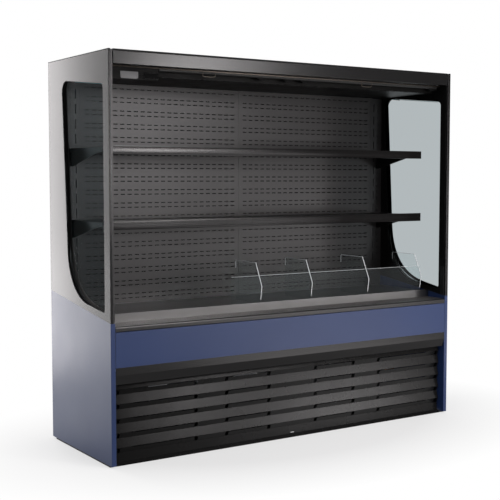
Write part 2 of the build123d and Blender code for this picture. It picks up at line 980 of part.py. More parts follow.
panel_foot = deck_top - panel_foot_drop
slot_row_top = panel_top - slot_row_drop
slot_rows = int((slot_row_top - deck_top) / slot_row_pitch)


def back_panel(side):
    """Perforated sheet; each slot stands for a run of short ones."""
    length = panel_edge - seam_gap
    middle = side * (seam_gap / 2 + length / 2)
    rows_height = slot_row_pitch * (slot_rows - 1)
    run = length / slot_columns
    with BuildPart() as panel:
        with BuildSketch(Plane.XZ.offset(-back_face)):
            with Locations((middle, (panel_top + panel_foot) / 2)):
                Rectangle(length, panel_top - panel_foot)
            with Locations((middle, slot_row_top - rows_height / 2)):
                with GridLocations(run, slot_row_pitch, slot_columns, slot_rows):
                    Rectangle(run - slot_web, slot_height, mode=Mode.SUBTRACT)
        extrude(amount=-sheet)
    return panel


keep("back_panels", both_ends(back_panel))

# ================================================================ shelves


def shelf(height):
    """Shelf tray with side, rear and front flanges."""
    front = shelf_front + rail_depth
    with BuildPart() as tray:
        with BuildSketch(Plane.YZ.offset(-shelf_half_length)):
            with Locations((front, height)):
                Rectangle(back_face - seat_gap - front, sheet, align=(Align.MIN, Align.MAX))
                Rectangle(sheet, shelf_rear_flange, align=(Align.MIN, Align.MAX))
            with Locations((back_face - seat_gap, height)):
                Rectangle(sheet, shelf_rear_flange, align=(Align.MAX, Align.MAX))
        extrude(amount=2 * shelf_half_length)
        for flange_x in (-shelf_half_length, shelf_half_length - sheet):
            with BuildSketch(Plane.YZ.offset(flange_x)):
                with Locations((front, height)):
                    Rectangle(
                        back_face - seat_gap - front,
                        shelf_side_flange,
                        align=(Align.MIN, Align.MAX),
                    )
            extrude(amount=sheet)
        # Notches in the rear flange for the brackets
        with BuildSketch(Plane.XZ.offset(-back_face)):
            with Locations((-bracket_x, height - sheet), (bracket_x, height - sheet)):
                Rectangle(
                    bracket_thickness + 2 * seat_gap,
                    2 * shelf_rear_flange,
                    align=(Align.CENTER, Align.MAX),
                )
        extrude(amount=3 * sheet, mode=Mode.SUBTRACT)
    return tray


def shelf_brackets(height):
    """Pair of tapering cantilever brackets, hooked into the uprights."""
    top = height - sheet
    taper_end = back_face - bracket_taper
    nose = shelf_front + rail_depth + sheet + 2 * seat_gap
    outline = (
        (back_face, top),
        (back_face, top - bracket_rear_height),
        (back_face - bracket_root, top - bracket_rear_height),
        (taper_end, top - bracket_nose_height),
        (nose, top - bracket_nose_height + bracket_nose_rise),
        (nose, top),
    )
    with BuildPart() as pair:
        for bracket_side in (-bracket_x, bracket_x):
            with BuildSketch(Plane.YZ.offset(bracket_side - bracket_thickness / 2)):
                with BuildLine():
                    Polyline(*outline, close=True)
                make_face()
            extrude(amount=bracket_thickness)
    return pair


def tag_rail(height, drop, rise, grooves):
    """Front rail of a shelf with end caps, plain or with grooves for price tags."""
    bottom, top = height - drop, height + rise
    back = shelf_front + rail_depth - seat_gap
    depth = back - shelf_front
    with BuildPart() as rail:
        with BuildSketch(Plane.YZ.offset(rail_cap - shelf_half_length)):
            with Locations((shelf_front, bottom)):
                Rectangle(depth, top - bottom, align=(Align.MIN, Align.MIN))
            groove_pitch = (top - bottom) / (grooves + 1)
            for groove in range(grooves):
                with Locations((shelf_front, bottom + groove_pitch * (groove + 1))):
                    Rectangle(
                        groove_depth,
                        groove_pitch / 2,
                        align=(Align.MIN, Align.CENTER),
                        mode=Mode.SUBTRACT,
                    )
        extrude(amount=2 * (shelf_half_length - rail_cap))
        for cap_x in (-shelf_half_length, shelf_half_length - rail_cap):
            with BuildSketch(Plane.YZ.offset(cap_x)):
                with Locations((shelf_front, bottom)):
                    RectangleRounded(depth, top - bottom, cap_round, align=(Align.MIN, Align.MIN))
            extrude(amount=rail_cap)
    return rail


keep("top_shelf", shelf(top_shelf_height))
keep("top_shelf_rail", tag_rail(top_shelf_height, top_rail_drop, top_rail_rise, 0))
keep("lower_shelf", shelf(lower_shelf_height))
with BuildPart() as all_brackets:
    add(shelf_brackets(top_shelf_height).part)
    add(shelf_brackets(lower_shelf_height).part)
keep("shelf_brackets", all_brackets)
keep("lower_shelf_rail", tag_rail(lower_shelf_height, lower_rail_drop, lower_rail_rise, 2))

# ================================================================ produce bin

bin_right = inner_x - bin_end_gap
bin_left = bin_right - bin_length
divider_positions = [bin_right - setback for setback in divider_setbacks]
divider_rear = deck_front + divider_length
bin_floor = deck_top + seat_gap
bin_wall_front = deck_front + deck_hem_fold + 1
bin_wall_rear = bin_wall_front + acrylic
chin = deck_top + divider_chin_height
with BuildPart() as bin_front_panel:
    with BuildSketch(Plane.YZ.offset(bin_left)):
        with Locations((bin_wall_front, bin_floor)):
            Rectangle(acrylic, bin_front_height, align=(Align.MIN, Align.MIN))
            Rectangle(bin_foot_reach, acrylic, align=(Align.MIN, Align.MIN))
    extrude(amount=bin_right - bin_left)
    # Slots that the dividers slide down into
    with BuildSketch(Plane.XY.offset(chin)):
        for divider_x in divider_positions:
            with Locations((divider_x, bin_wall_front + acrylic / 2)):
                Rectangle(acrylic + 2 * seat_gap, 2 * acrylic)
    extrude(amount=bin_front_height, mode=Mode.SUBTRACT)
keep("bin_front_panel", bin_front_panel)

divider_foot = bin_floor + acrylic + seat_gap
divider_outline = (
    (bin_wall_rear + seat_gap, divider_foot),
    (divider_rear, divider_foot),
    (divider_rear, deck_top + divider_height),
    (deck_front + divider_top_setback, deck_top + divider_height),
    (deck_front - divider_overhang, deck_top + divider_nose_height),
    (deck_front, chin + seat_gap),
    (bin_wall_rear + seat_gap, chin + seat_gap),
)
with BuildPart() as bin_dividers:
    for divider_x in divider_positions:
        with BuildSketch(Plane.YZ.offset(divider_x - acrylic / 2)):
            with BuildLine():
                Polyline(*divider_outline, close=True)
            make_face()
        extrude(amount=acrylic)
    fillet(bin_dividers.edges().filter_by(Axis.X).group_by(Axis.Y)[0], divider_round)
keep("bin_dividers", bin_dividers)

# ================================================================ canopy

keep(
    "canopy_fascia",
    slab(
        Plane.YZ.offset(-skin_half),
        folded(
            (
                (case_front + fascia_depth, fascia_top),
                (case_front, fascia_top),
                (case_front, soffit),
                (case_front + fascia_depth, soffit),
            )
        ),
        2 * skin_half,
    ),
)

cover_rear = case_front + cover_depth
with BuildPart() as canopy_top_cover:
    with BuildSketch(Plane.YZ.offset(-skin_half)):
        with BuildLine():
            Polyline(
                (case_front, case_height),
                (case_front, fascia_top + seat_gap),
                (case_front + cover_front_fold, fascia_top + seat_gap),
                (case_front + cover_front_fold, roof_top + seat_gap),
                (cover_rear, roof_top + seat_gap),
                (cover_rear, case_height - cover_bevel),
                (cover_rear - cover_bevel, case_height),
                close=True,
            )
        make_face()
    extrude(amount=2 * skin_half)
keep("canopy_top_cover", canopy_top_cover)

# Ceiling of the cold space and the narrow sheet in front of the air outlet
with BuildPart() as canopy_underside:
    with BuildSketch(Plane.YZ.offset(-clear_x)):
        with BuildLine():
            Polyline(
                *folded(
                    (
                        (back_face + sheet, ceiling_height + ceiling_fold),
                        (back_face + sheet, ceiling_height),
                        (honeycomb_rear + seat_gap, ceiling_height),
                        (honeycomb_rear + seat_gap, roof_bottom - seat_gap),
                    ),
                    -sheet,
                ),
                close=True,
            )
        make_face()
        with BuildLine():
            Polyline(
                *folded(
                    (
                        (honeycomb_front - seat_gap - sheet, ceiling_height),
                        (honeycomb_front - seat_gap - sheet, soffit),
                        (cassette_rear + seat_gap, soffit),
                    ),
                    -sheet,
                ),
                close=True,
            )
        make_face()
    extrude(amount=2 * clear_x)
keep("canopy_underside", canopy_underside)

with BuildPart() as discharge_honeycomb:
    with BuildSketch(Plane.XY.offset(ceiling_height)):
        with Locations((0, honeycomb_front + honeycomb_depth / 2)):
            Rectangle(2 * clear_x, honeycomb_depth)
            with GridLocations(2 * clear_x / honeycomb_cells, 0, honeycomb_cells, 1):
                Rectangle(
                    2 * clear_x / honeycomb_cells - honeycomb_wall,
                    honeycomb_depth - honeycomb_wall,
                    mode=Mode.SUBTRACT,
                )
    extrude(amount=honeycomb_height)
keep("discharge_honeycomb", discharge_honeycomb)

with BuildPart() as blind_cassette:
    with BuildSketch(Plane.YZ.offset(-clear_x)):
        with Locations((cassette_front, cassette_bottom)):
            Rectangle(cassette_depth, cassette_height, align=(Align.MIN, Align.MIN))
        with Locations((cassette_front + sheet, cassette_bottom + sheet)):
            Rectangle(
                cassette_depth - 2 * sheet,
                cassette_height - 2 * sheet,
                align=(Align.MIN, Align.MIN),
                mode=Mode.SUBTRACT,
            )
        with Locations((blind_y, cassette_bottom)):
            Rectangle(2 * (cassette_rear - sheet - blind_y), 2 * sheet, mode=Mode.SUBTRACT)
    extrude(amount=2 * clear_x)
    # End plates with the bores for the roller pins
    for plate_x in (-clear_x, clear_x - cassette_end):
        with BuildSketch(Plane.YZ.offset(plate_x)):
            with Locations((cassette_front, cassette_bottom)):
                Rectangle(cassette_depth, cassette_height, align=(Align.MIN, Align.MIN))
            with Locations((roller_axis_y, roller_axis_z)):
                Circle(roller_pin_radius + pin_clearance, mode=Mode.SUBTRACT)
        extrude(amount=cassette_end)
keep("blind_cassette", blind_cassette)

with BuildPart() as blind_roller:
    roller_half = clear_x - cassette_end - roller_end_gap
    with BuildSketch(Plane.YZ.offset(-roller_half)):
        with Locations((roller_axis_y, roller_axis_z)):
            Circle(roller_radius)
    extrude(amount=2 * roller_half)
    with BuildSketch(Plane.YZ.offset(pin_end_space - clear_x)):
        with Locations((roller_axis_y, roller_axis_z)):
            Circle(roller_pin_radius)
    extrude(amount=2 * (clear_x - pin_end_space))
keep("blind_roller", blind_roller)

with BuildPart() as blind_cloth:
    with BuildSketch(Plane.XY.offset(cassette_bottom)):
        with Locations((0, blind_y)):
            Rectangle(2 * (bar_half_length - blind_side_hem), blind_thickness)
    extrude(amount=roller_axis_z - cassette_bottom)
keep("blind_cloth", blind_cloth)

with BuildPart() as blind_pull_bar:
    with BuildSketch(Plane.YZ.offset(-bar_half_length)):
        with Locations((blind_y, handle_top)):
            Rectangle(bar_depth, bar_height, align=(Align.CENTER, Align.MIN))
    extrude(amount=2 * bar_half_length)
    fillet(blind_pull_bar.edges().filter_by(Axis.X).group_by(Axis.Z)[0], 2)
    # Two looped handles hang under the bar
    with BuildSketch(Plane.XZ.offset(-blind_y)) as loops:
        with GridLocations(2 * handle_centre, 0, 2, 1):
            with Locations((0, handle_top)):
                Rectangle(handle_width, handle_drop, align=(Align.CENTER, Align.MAX))
        fillet(loops.vertices().group_by(Axis.Y)[0], handle_corner)
        with GridLocations(2 * handle_centre, 0, 2, 1):
            with Locations((0, handle_top - handle_band)):
                Rectangle(
                    handle_width - 2 * handle_band,
                    handle_drop - 2 * handle_band,
                    align=(Align.CENTER, Align.MAX),
                    mode=Mode.SUBTRACT,
                )
    extrude(amount=handle_depth / 2, both=True)
keep("blind_pull_bar", blind_pull_bar)

# Light under the canopy, beside the controller housing
with BuildPart() as canopy_light:
    light_left = housing_right + bar_end_gap
    light_right = clear_x - light_end_gap
    with BuildSketch(Plane.YZ.offset(light_left)):
        with Locations((housing_front + light_setback, soffit - seat_gap)):
            Rectangle(light_depth, light_height, align=(Align.MIN, Align.MAX))
    extrude(amount=light_right - light_left)
    chamfer(canopy_light.edges().filter_by(Axis.X).group_by(Axis.Z)[0], light_chamfer)
keep("canopy_light", canopy_light)

# ================================================================ controller housing

housing_top = soffit - seat_gap
switch_x = housing_left + switch_offset
switch_z = housing_bottom + switch_lift
pocket_half_height = switch_half_height + switch_swing_room
with BuildPart() as controller_housing:
    with BuildSketch(Plane.YZ.offset(housing_left)):
        with BuildLine():
            Polyline(
                (housing_front, housing_bottom),
                (housing_front + housing_depth, housing_bottom + housing_rear_rise),
                (housing_front + housing_depth, housing_top),
                (housing_front, housing_top),
                close=True,
            )
        make_face()
    extrude(amount=housing_right - housing_left)
    with BuildSketch(Plane.XZ.offset(-housing_front)):
        with Locations((switch_x, switch_z)):
            Rectangle(switch_width + 1, 2 * pocket_half_height)
    extrude(amount=-pocket_depth, mode=Mode.SUBTRACT)
    pin_bore_length = switch_width + 2 * pin_bore_margin
    with BuildSketch(Plane.YZ.offset(switch_x - pin_bore_length / 2)):
        with Locations((housing_front + switch_pivot_depth, switch_z)):
            Circle(switch_pin_radius + pin_clearance)
    extrude(amount=pin_bore_length, mode=Mode.SUBTRACT)
keep("controller_housing", controller_housing)

with BuildPart() as light_switch:
    pivot_y = housing_front + switch_pivot_depth
    proud = switch_pivot_depth + switch_half_height * tan(radians(switch_angle))
    with BuildSketch(Plane.YZ.offset(switch_x - switch_width / 2)):
        with BuildLine():
            Polyline(
                (pivot_y - proud, switch_z + switch_half_height),
                (pivot_y - switch_pivot_depth, switch_z),
                (pivot_y - switch_pivot_depth, switch_z - switch_half_height),
                (pivot_y + switch_tail, switch_z - switch_half_height / 2),
                (pivot_y + switch_tail, switch_z + switch_half_height / 2),
                close=True,
            )
        make_face()
    extrude(amount=switch_width)
    with BuildSketch(Plane.YZ.offset(switch_x - pin_bore_length / 2 + 0.5)):
        with Locations((pivot_y, switch_z)):
            Circle(switch_pin_radius)
    extrude(amount=pin_bore_length - 1)
keep("light_switch", light_switch)


def housing_plate(left, width, radius):
    """Thin plate on the front of the controller housing, rounded at its lower corners."""
    with BuildPart() as plate:
        with BuildSketch(Plane.XZ.offset(-housing_front)) as face:
            with Locations((housing_left + left, housing_bottom + plate_lift)):
                Rectangle(width, plate_height, align=(Align.MIN, Align.MIN))
            fillet(face.vertices().group_by(Axis.Y)[0], radius)
        extrude(amount=plate_thickness)
    return plate


keep("controller_plate", housing_plate(plate_offset, plate_width, plate_round))
keep("controller_display", housing_plate(display_offset, display_width, display_round))

# ================================================================ cold side under the deck

plate_foot = tub_floor_at(fan_plane + plenum_sheet) + seat_gap
plenum_depth = pan_rear - sheet - plenum_rear_gap - fan_plane
fan_places = (fan_end_space - inner_x, 0.0, inner_x - fan_end_space)
with BuildPart() as fan_plenum:
    # Upright plate with the fan openings, and the shelf that carries the deck pans
    with BuildSketch(Plane.XZ.offset(-fan_plane)):
        with Locations((0, (deck_seat + plate_foot) / 2)):
            Rectangle(2 * clear_x, deck_seat - plate_foot)
        with Locations(*[(x, fan_axis_z) for x in fan_places]):
            Circle(fan_radius + fan_opening_gap, mode=Mode.SUBTRACT)
    extrude(amount=-plenum_sheet)
    with BuildSketch(Plane.YZ.offset(-clear_x)):
        with Locations((fan_plane, deck_seat)):
            Rectangle(plenum_depth, plenum_sheet, align=(Align.MIN, Align.MAX))
    extrude(amount=2 * clear_x)
keep("fan_plenum", fan_plenum)


def fan_motor(x, z, face_y, radius, length, shaft_reach, strap_half, seat_y):
    """Motor with its shaft and a strap whose feet stand on the plate at seat_y."""
    strap_y = face_y + strap_setback
    foot = strap_half - strap_thickness / 2
    with BuildPart() as motor:
        with BuildSketch(Plane.XZ.offset(-face_y)):
            with Locations((x, z)):
                RegularPolygon(radius, 12)
        extrude(amount=-length)
        with BuildSketch(Plane.XZ.offset(-face_y)):
            with Locations((x, z)):
                RegularPolygon(shaft_radius, 12)
        extrude(amount=shaft_reach)
        with BuildSketch(Plane.XZ.offset(-strap_y)):
            with Locations((x, z)):
                Rectangle(2 * strap_half, strap_width)
        extrude(amount=-strap_thickness)
        with BuildSketch(Plane.XZ.offset(-seat_y)):
            with Locations((x - foot, z), (x + foot, z)):
                Rectangle(strap_thickness, strap_width)
        extrude(amount=-(strap_y + strap_thickness - seat_y))
    return motor


with BuildPart() as evaporator_fan_motors:
    for x in fan_places:
        add(
            fan_motor(
                x,
                fan_axis_z,
                fan_plane + motor_setback,
                motor_radius,
                motor_length,
                fan_hub_length,
                fan_radius + fan_opening_gap + strap_width,
                fan_plane + plenum_sheet,
            ).part
        )
keep("evaporator_fan_motors", evaporator_fan_motors)


def axial_fan(x, z, plane_y, tip_radius, hub_radius, hub_length):
    """Fan with pitched blades on the flats of a hub that is bored for its shaft."""
    blade_root = 0.6 * hub_radius
    blade_length = tip_radius - blade_root
    centre = blade_root + blade_length / 2
    pitch = radians(fan_blade_pitch)
    with BuildPart() as fan:
        with BuildSketch(Plane.XZ.offset(-plane_y)):
            with Locations((x, z)):
                RegularPolygon(hub_radius, 2 * fan_blades)
        extrude(amount=-hub_length)
        for blade in range(fan_blades):
            turn = radians(360 / fan_blades * blade)
            place = Plane(
                origin=(x + centre * sin(turn), plane_y + hub_length / 2, z + centre * cos(turn)),
                x_dir=(cos(turn) * cos(pitch), sin(pitch), -sin(turn) * cos(pitch)),
                z_dir=(sin(turn), 0, cos(turn)),
            )
            with BuildSketch(place.offset(-blade_length / 2)):
                Rectangle(0.8 * hub_radius, blade_thickness)
            extrude(amount=blade_length)
        with BuildSketch(Plane.XZ.offset(-plane_y + 1)):
            with Locations((x, z)):
                Circle(shaft_radius + pin_clearance)
        extrude(amount=-(hub_length + 2), mode=Mode.SUBTRACT)
    return fan


for number, x in enumerate(fan_places, start=1):
    keep(
        f"evaporator_fan_{number}",
        axial_fan(x, fan_axis_z, fan_plane - fan_lead, fan_radius, fan_hub_radius, fan_hub_length),
    )

# Finned coil between two end plates, on the floor of the tub
with BuildPart() as evaporator_coil:
    coil_foot = tub_floor_at(coil_front + coil_depth + coil_plate_margin) + seat_gap
    with BuildSketch(Plane.XY.offset(coil_foot)):
        with Locations((0, coil_front + coil_depth / 2)):
            Rectangle(coil_length, coil_depth)
    extrude(amount=coil_height)
    with BuildSketch(Plane.XY.offset(coil_foot)):
        with Locations((0, coil_front + coil_depth / 2)):
            with GridLocations(coil_length + coil_plate, 0, 2, 1):
                Rectangle(coil_plate, coil_depth + 2 * coil_plate_margin)
    extrude(amount=coil_height + coil_plate_rise)
    # Return bends beyond the end plates
    bend_plane = Plane.YZ.offset(coil_length / 2 + coil_plate)
    for bend_z in (coil_foot + coil_height / 4, coil_foot + 3 * coil_height / 4):
        with BuildSketch(bend_plane):
            with Locations((coil_front + coil_depth / 2, bend_z)):
                Rectangle(coil_depth - 2 * bend_inset, bend_width)
        extrude(amount=bend_reach)
keep("evaporator_coil", evaporator_coil)

# ================================================================ machine space

condenser_front = case_front + condenser_setback
condenser_rear = condenser_front + condenser_depth
condenser_left = inner_x - condenser_end_space - condenser_width
condenser_middle = condenser_left + condenser_width / 2
condenser_foot = pan_top
fan_centre_z = condenser_foot + condenser_height / 2
with BuildPart() as condenser_coil:
    with BuildSketch(Plane.XY.offset(condenser_foot)):
        with Locations((condenser_middle, condenser_front + condenser_depth / 2)):
            Rectangle(condenser_width, condenser_depth)
    extrude(amount=condenser_height)
    with BuildSketch(Plane.XY.offset(condenser_foot)):
        with Locations((condenser_middle, condenser_front + condenser_depth / 2)):
            with GridLocations(condenser_width + coil_plate, 0, 2, 1):
                Rectangle(coil_plate, condenser_depth + 2 * condenser_margin)
    extrude(amount=condenser_height + condenser_rise)
keep("condenser_coil", condenser_coil)

shroud_front = condenser_rear + condenser_margin + seat_gap
with BuildPart() as condenser_shroud:
    with BuildSketch(Plane.XZ.offset(-shroud_front)):
        with Locations((condenser_middle, fan_centre_z)):
            Rectangle(condenser_width, condenser_height)
    extrude(amount=-shroud_depth)
    with BuildSketch(Plane.XZ.offset(-shroud_front)):
        with Locations((condenser_middle, fan_centre_z)):
            Rectangle(condenser_width - 2 * shroud_sheet, condenser_height - 2 * shroud_sheet)
    extrude(amount=-(shroud_depth - shroud_sheet), mode=Mode.SUBTRACT)
    with BuildSketch(Plane.XZ.offset(-(shroud_front + shroud_depth))):
        with Locations((condenser_middle, fan_centre_z)):
            Circle(condenser_fan_radius + fan_opening_gap)
    extrude(amount=2 * shroud_sheet, mode=Mode.SUBTRACT)
keep("condenser_shroud", condenser_shroud)

shroud_rear = shroud_front + shroud_depth
keep(
    "condenser_fan",
    axial_fan(
        condenser_middle,
        fan_centre_z,
        shroud_rear - condenser_hub_length + condenser_fan_proud,
        condenser_fan_radius,
        condenser_hub_radius,
        condenser_hub_length,
    ),
)

keep(
    "condenser_fan_motor",
    fan_motor(
        condenser_middle,
        fan_centre_z,
        shroud_rear + condenser_motor_gap,
        condenser_motor_radius,
        condenser_motor_length,
        condenser_motor_gap + condenser_hub_length / 2,
        condenser_fan_radius + fan_opening_gap + strap_width,
        shroud_rear,
    ),
)

compressor_x = inner_x - compressor_end_space
compressor_y = case_rear - compressor_rear_space
shell_base = pan_top + compressor_foot
shell_top = shell_base + compressor_height
with BuildPart() as compressor:
    # Welded shell with a sloping shoulder on a foot plate
    with BuildSketch(Plane.XY.offset(shell_base)):
        with Locations((compressor_x, compressor_y)):
            RegularPolygon(
                compressor_radius, shell_sides, major_radius=False, rotation=180 / shell_sides
            )
    extrude(amount=compressor_height)
    chamfer(
        compressor.faces().sort_by(Axis.Z)[-1].edges(),
        shell_shoulder / 2,
        shell_shoulder,
    )
    with BuildSketch(Plane.XY.offset(pan_top)):
        with Locations((compressor_x, compressor_y)):
            Rectangle(2.1 * compressor_radius, 1.7 * compressor_radius)
    extrude(amount=shell_base - pan_top)
keep("compressor", compressor)

with BuildPart() as electrical_box:
    with BuildSketch(Plane.XY.offset(pan_top)):
        with Locations((box_end_space - inner_x, case_rear - box_rear_space)):
            Rectangle(box_length, box_depth)
    extrude(amount=box_height)
    chamfer(electrical_box.faces().sort_by(Axis.Z)[-1].edges(), box_chamfer)
keep("electrical_box", electrical_box)

with BuildPart() as condensate_pan:
    with BuildSketch(Plane.XY.offset(pan_top)):
        with Locations((tray_end_space - inner_x, case_rear - tray_rear_space)):
            Rectangle(tray_length, tray_depth)
    extrude(amount=tray_height)
    offset(amount=-tray_wall, openings=condensate_pan.faces().sort_by(Axis.Z)[-1])
keep("condensate_pan", condensate_pan)


def copper_line(*points):
    """Round tube along straight runs joined by bends."""
    with BuildPart() as line:
        with BuildLine() as route:
            FilletPolyline(*points, radius=tube_bend)
        with BuildSketch(Plane(origin=route.line @ 0, z_dir=route.line % 0)):
            RegularPolygon(tube_radius, 6)
        sweep()
    return line


suction_level = tub_bottom - suction_drop
suction_x = compressor_x + compressor_radius / 3
suction_y = compressor_y + suction_run
liquid_x = condenser_left - liquid_lead
liquid_y = case_rear - liquid_line_space
liquid_level = condenser_foot + liquid_height
header_y = condenser_front + condenser_depth / 2
header_end = coil_plate + seat_gap
discharge_z = shell_base + discharge_height
with BuildPart() as refrigerant_lines:
    # Discharge to the condenser, liquid line up to the tub and suction from it
    add(
        copper_line(
            (condenser_left + condenser_width + header_end, header_y, discharge_z),
            (compressor_x, header_y, discharge_z),
            (compressor_x, compressor_y - compressor_radius - seat_gap, discharge_z),
        ).part
    )
    add(
        copper_line(
            (condenser_left - header_end, header_y, liquid_level),
            (liquid_x, header_y, liquid_level),
            (liquid_x, liquid_y, liquid_level),
            (liquid_x, liquid_y, tub_bottom - seat_gap),
        ).part
    )
    add(
        copper_line(
            (suction_x, compressor_y, shell_top + seat_gap),
            (suction_x, compressor_y, suction_level),
            (suction_x, suction_y, suction_level),
            (suction_x, suction_y, tub_bottom - seat_gap),
        ).part
    )
keep("refrigerant_lines", refrigerant_lines)

print(f"{len(pieces)} pieces written")
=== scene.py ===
"""Looks of an open multideck display case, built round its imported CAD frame.

Metres, in the frame of the CAD: X runs along the case from left to right, the open front
faces -Y and Z is up.  Sizes written in millimetres pass through mm().
"""

import logging
import math
from bisect import bisect
from collections.abc import Callable, Iterable, Sequence
from dataclasses import dataclass
from enum import Enum
from functools import partial, reduce

import bmesh
import bpy
from mathutils import Matrix, Quaternion, Vector

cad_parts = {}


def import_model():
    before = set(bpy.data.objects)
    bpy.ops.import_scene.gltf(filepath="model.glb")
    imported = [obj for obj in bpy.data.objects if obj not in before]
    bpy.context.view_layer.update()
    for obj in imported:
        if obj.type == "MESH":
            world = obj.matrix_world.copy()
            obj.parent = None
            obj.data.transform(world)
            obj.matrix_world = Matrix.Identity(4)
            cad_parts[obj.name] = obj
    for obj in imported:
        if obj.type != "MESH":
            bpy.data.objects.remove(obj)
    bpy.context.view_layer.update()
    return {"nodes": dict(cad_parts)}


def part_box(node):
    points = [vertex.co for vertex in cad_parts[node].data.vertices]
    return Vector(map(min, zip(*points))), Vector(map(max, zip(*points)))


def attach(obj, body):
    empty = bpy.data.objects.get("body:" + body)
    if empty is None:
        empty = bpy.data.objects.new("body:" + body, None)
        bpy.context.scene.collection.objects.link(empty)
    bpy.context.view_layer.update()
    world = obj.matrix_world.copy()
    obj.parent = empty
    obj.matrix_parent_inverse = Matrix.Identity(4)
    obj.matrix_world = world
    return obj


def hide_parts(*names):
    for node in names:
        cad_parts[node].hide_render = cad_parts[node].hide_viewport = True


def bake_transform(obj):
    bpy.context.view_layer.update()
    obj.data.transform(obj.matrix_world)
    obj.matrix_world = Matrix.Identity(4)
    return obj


log = logging.getLogger("display_case")

Pair = tuple[float, float]
Triple = tuple[float, float, float]
Mesh = bmesh.types.BMesh
Socket = bpy.types.NodeSocket

SIDES: dict[int, str] = {-1: "left", 1: "right"}
EVEN: Triple = (1.0, 1.0, 1.0)
# Stands a flat sheet up, with its face to the front.
UPRIGHT = Matrix.Rotation(math.radians(90), 4, "X")
# Vertices closer than this become one, and a bump of full height is this deep, in metres.
MERGE = 1e-6
BUMP_DEPTH = 0.001
# Edges that bend by more than this, in radians, are shaded as corners.
SHARP_ANGLE = 0.6


def mm(*values: float) -> Vector:
    """Point or size given in millimetres."""
    return Vector(values) / 1000


# ---------------------------------------------------------------- finishes


class Grain(Enum):
    """Kind of fine relief on a finish, as the stretch of its pattern along X, Y and Z."""

    PEEL = EVEN
    BRUSHED_X = (0.02, 1.0, 1.0)
    BRUSHED_Z = (1.0, 1.0, 0.02)


class Nodes:
    """Short way to add and join the nodes of one material or world."""

    def __init__(self, owner: bpy.types.Material | bpy.types.World) -> None:
        """Clear the owner's nodes.

        Args:
            owner: The material or world that the nodes belong to.
        """
        owner.use_nodes = True
        self.owner = owner
        self.tree = owner.node_tree
        self.tree.nodes.clear()

    def feed(self, target: Socket, value: Socket | float | Sequence[float]) -> None:
        """Link an input to an output, or set it to a plain value.

        Args:
            target: The input.
            value: The output, or the plain value.
        """
        if isinstance(value, Socket):
            self.tree.links.new(value, target)
        else:
            target.default_value = value

    def add(self, kind: str, **settings: object) -> bpy.types.Node:
        """Add a node.

        Args:
            kind: Node type without its ShaderNode prefix.
            settings: Attributes, or what feeds an input, by socket name with _ for a space.

        Returns:
            The new node.
        """
        node = self.tree.nodes.new(f"ShaderNode{kind}")
        for key, value in settings.items():
            if hasattr(node, key):
                setattr(node, key, value)
            else:
                self.feed(node.inputs[key.replace("_", " ")], value)
        return node

    def place(self, scale: Triple = EVEN) -> Socket:
        """Object coordinates, stretched."""
        where = self.add("TexCoord").outputs["Object"]
        return self.add("Mapping", Vector=where, Scale=scale).outputs["Vector"]

    def coordinate(self, where: Socket, axis: int) -> Socket:
        """One coordinate of a place."""
        return self.add("SeparateXYZ", Vector=where).outputs[axis]

    def noise(self, size: float, stretch: Triple, detail: float) -> Socket:
        """Noise whose features are about size metres across.

        Args:
            size: Feature size in metres.
            stretch: How the pattern is drawn out along X, Y and Z.
            detail: Number of finer layers.

        Returns:
            The noise value, from 0 to 1.
        """
        where = self.place(stretch)
        return self.add("TexNoise", Vector=where, Scale=1.0 / size, Detail=detail).outputs["Fac"]

    def ranged(self, value: Socket, low: float, high: float, start: float = 0.3,
               stop: float = 0.7) -> Socket:
        """Value mapped from start..stop to low..high."""
        return self.add("MapRange", clamp=True, Value=value, From_Min=start, From_Max=stop,
                        To_Min=low, To_Max=high).outputs["Result"]

    def math(self, operation: str, first: Socket, second: Socket | float) -> Socket:
        """Do a sum on two values, kept between 0 and 1.

        Args:
            operation: Name of the sum, such as ADD.
            first: The first value.
            second: The second value.

        Returns:
            The result.
        """
        node = self.add("Math", operation=operation, use_clamp=True)
        self.feed(node.inputs[0], first)
        self.feed(node.inputs[1], second)
        return node.outputs["Value"]

    def blend(self, factor: Socket, first: Socket | Triple, second: Triple) -> Socket:
        """Go from one colour to another with a factor.

        Args:
            factor: 0 for the first colour and 1 for the second.
            first: The first colour.
            second: The second colour.

        Returns:
            The colour between them.
        """
        mix = self.add("Mix", data_type="RGBA", Factor=factor)
        inputs = [socket for socket in mix.inputs if socket.type == "RGBA"]
        for target, colour in zip(inputs, (first, second)):
            self.feed(target, colour if isinstance(colour, Socket) else (*colour, 1.0))
        return next(socket for socket in mix.outputs if socket.type == "RGBA")

    def join(self, kind: str, first: bpy.types.Node, second: bpy.types.Node,
             **settings: object) -> bpy.types.Node:
        """Mix or sum of two shaders.

        Args:
            kind: Node type, as for add().
            first: Node of the first shader.
            second: Node of the second shader.
            settings: Other settings, as for add().

        Returns:
            The node that joins them.
        """
        both = self.add(kind, **settings)
        inputs = [socket for socket in both.inputs if socket.type == "SHADER"]
        for target, source in zip(inputs, (first, second)):
            self.feed(target, source.outputs[0])
        return both

    def finish(self, shader: bpy.types.Node, output: str = "OutputMaterial") -> bpy.types.ID:
        """Join a shader to the output."""
        self.feed(self.add(output).inputs["Surface"], shader.outputs[0])
        return self.owner


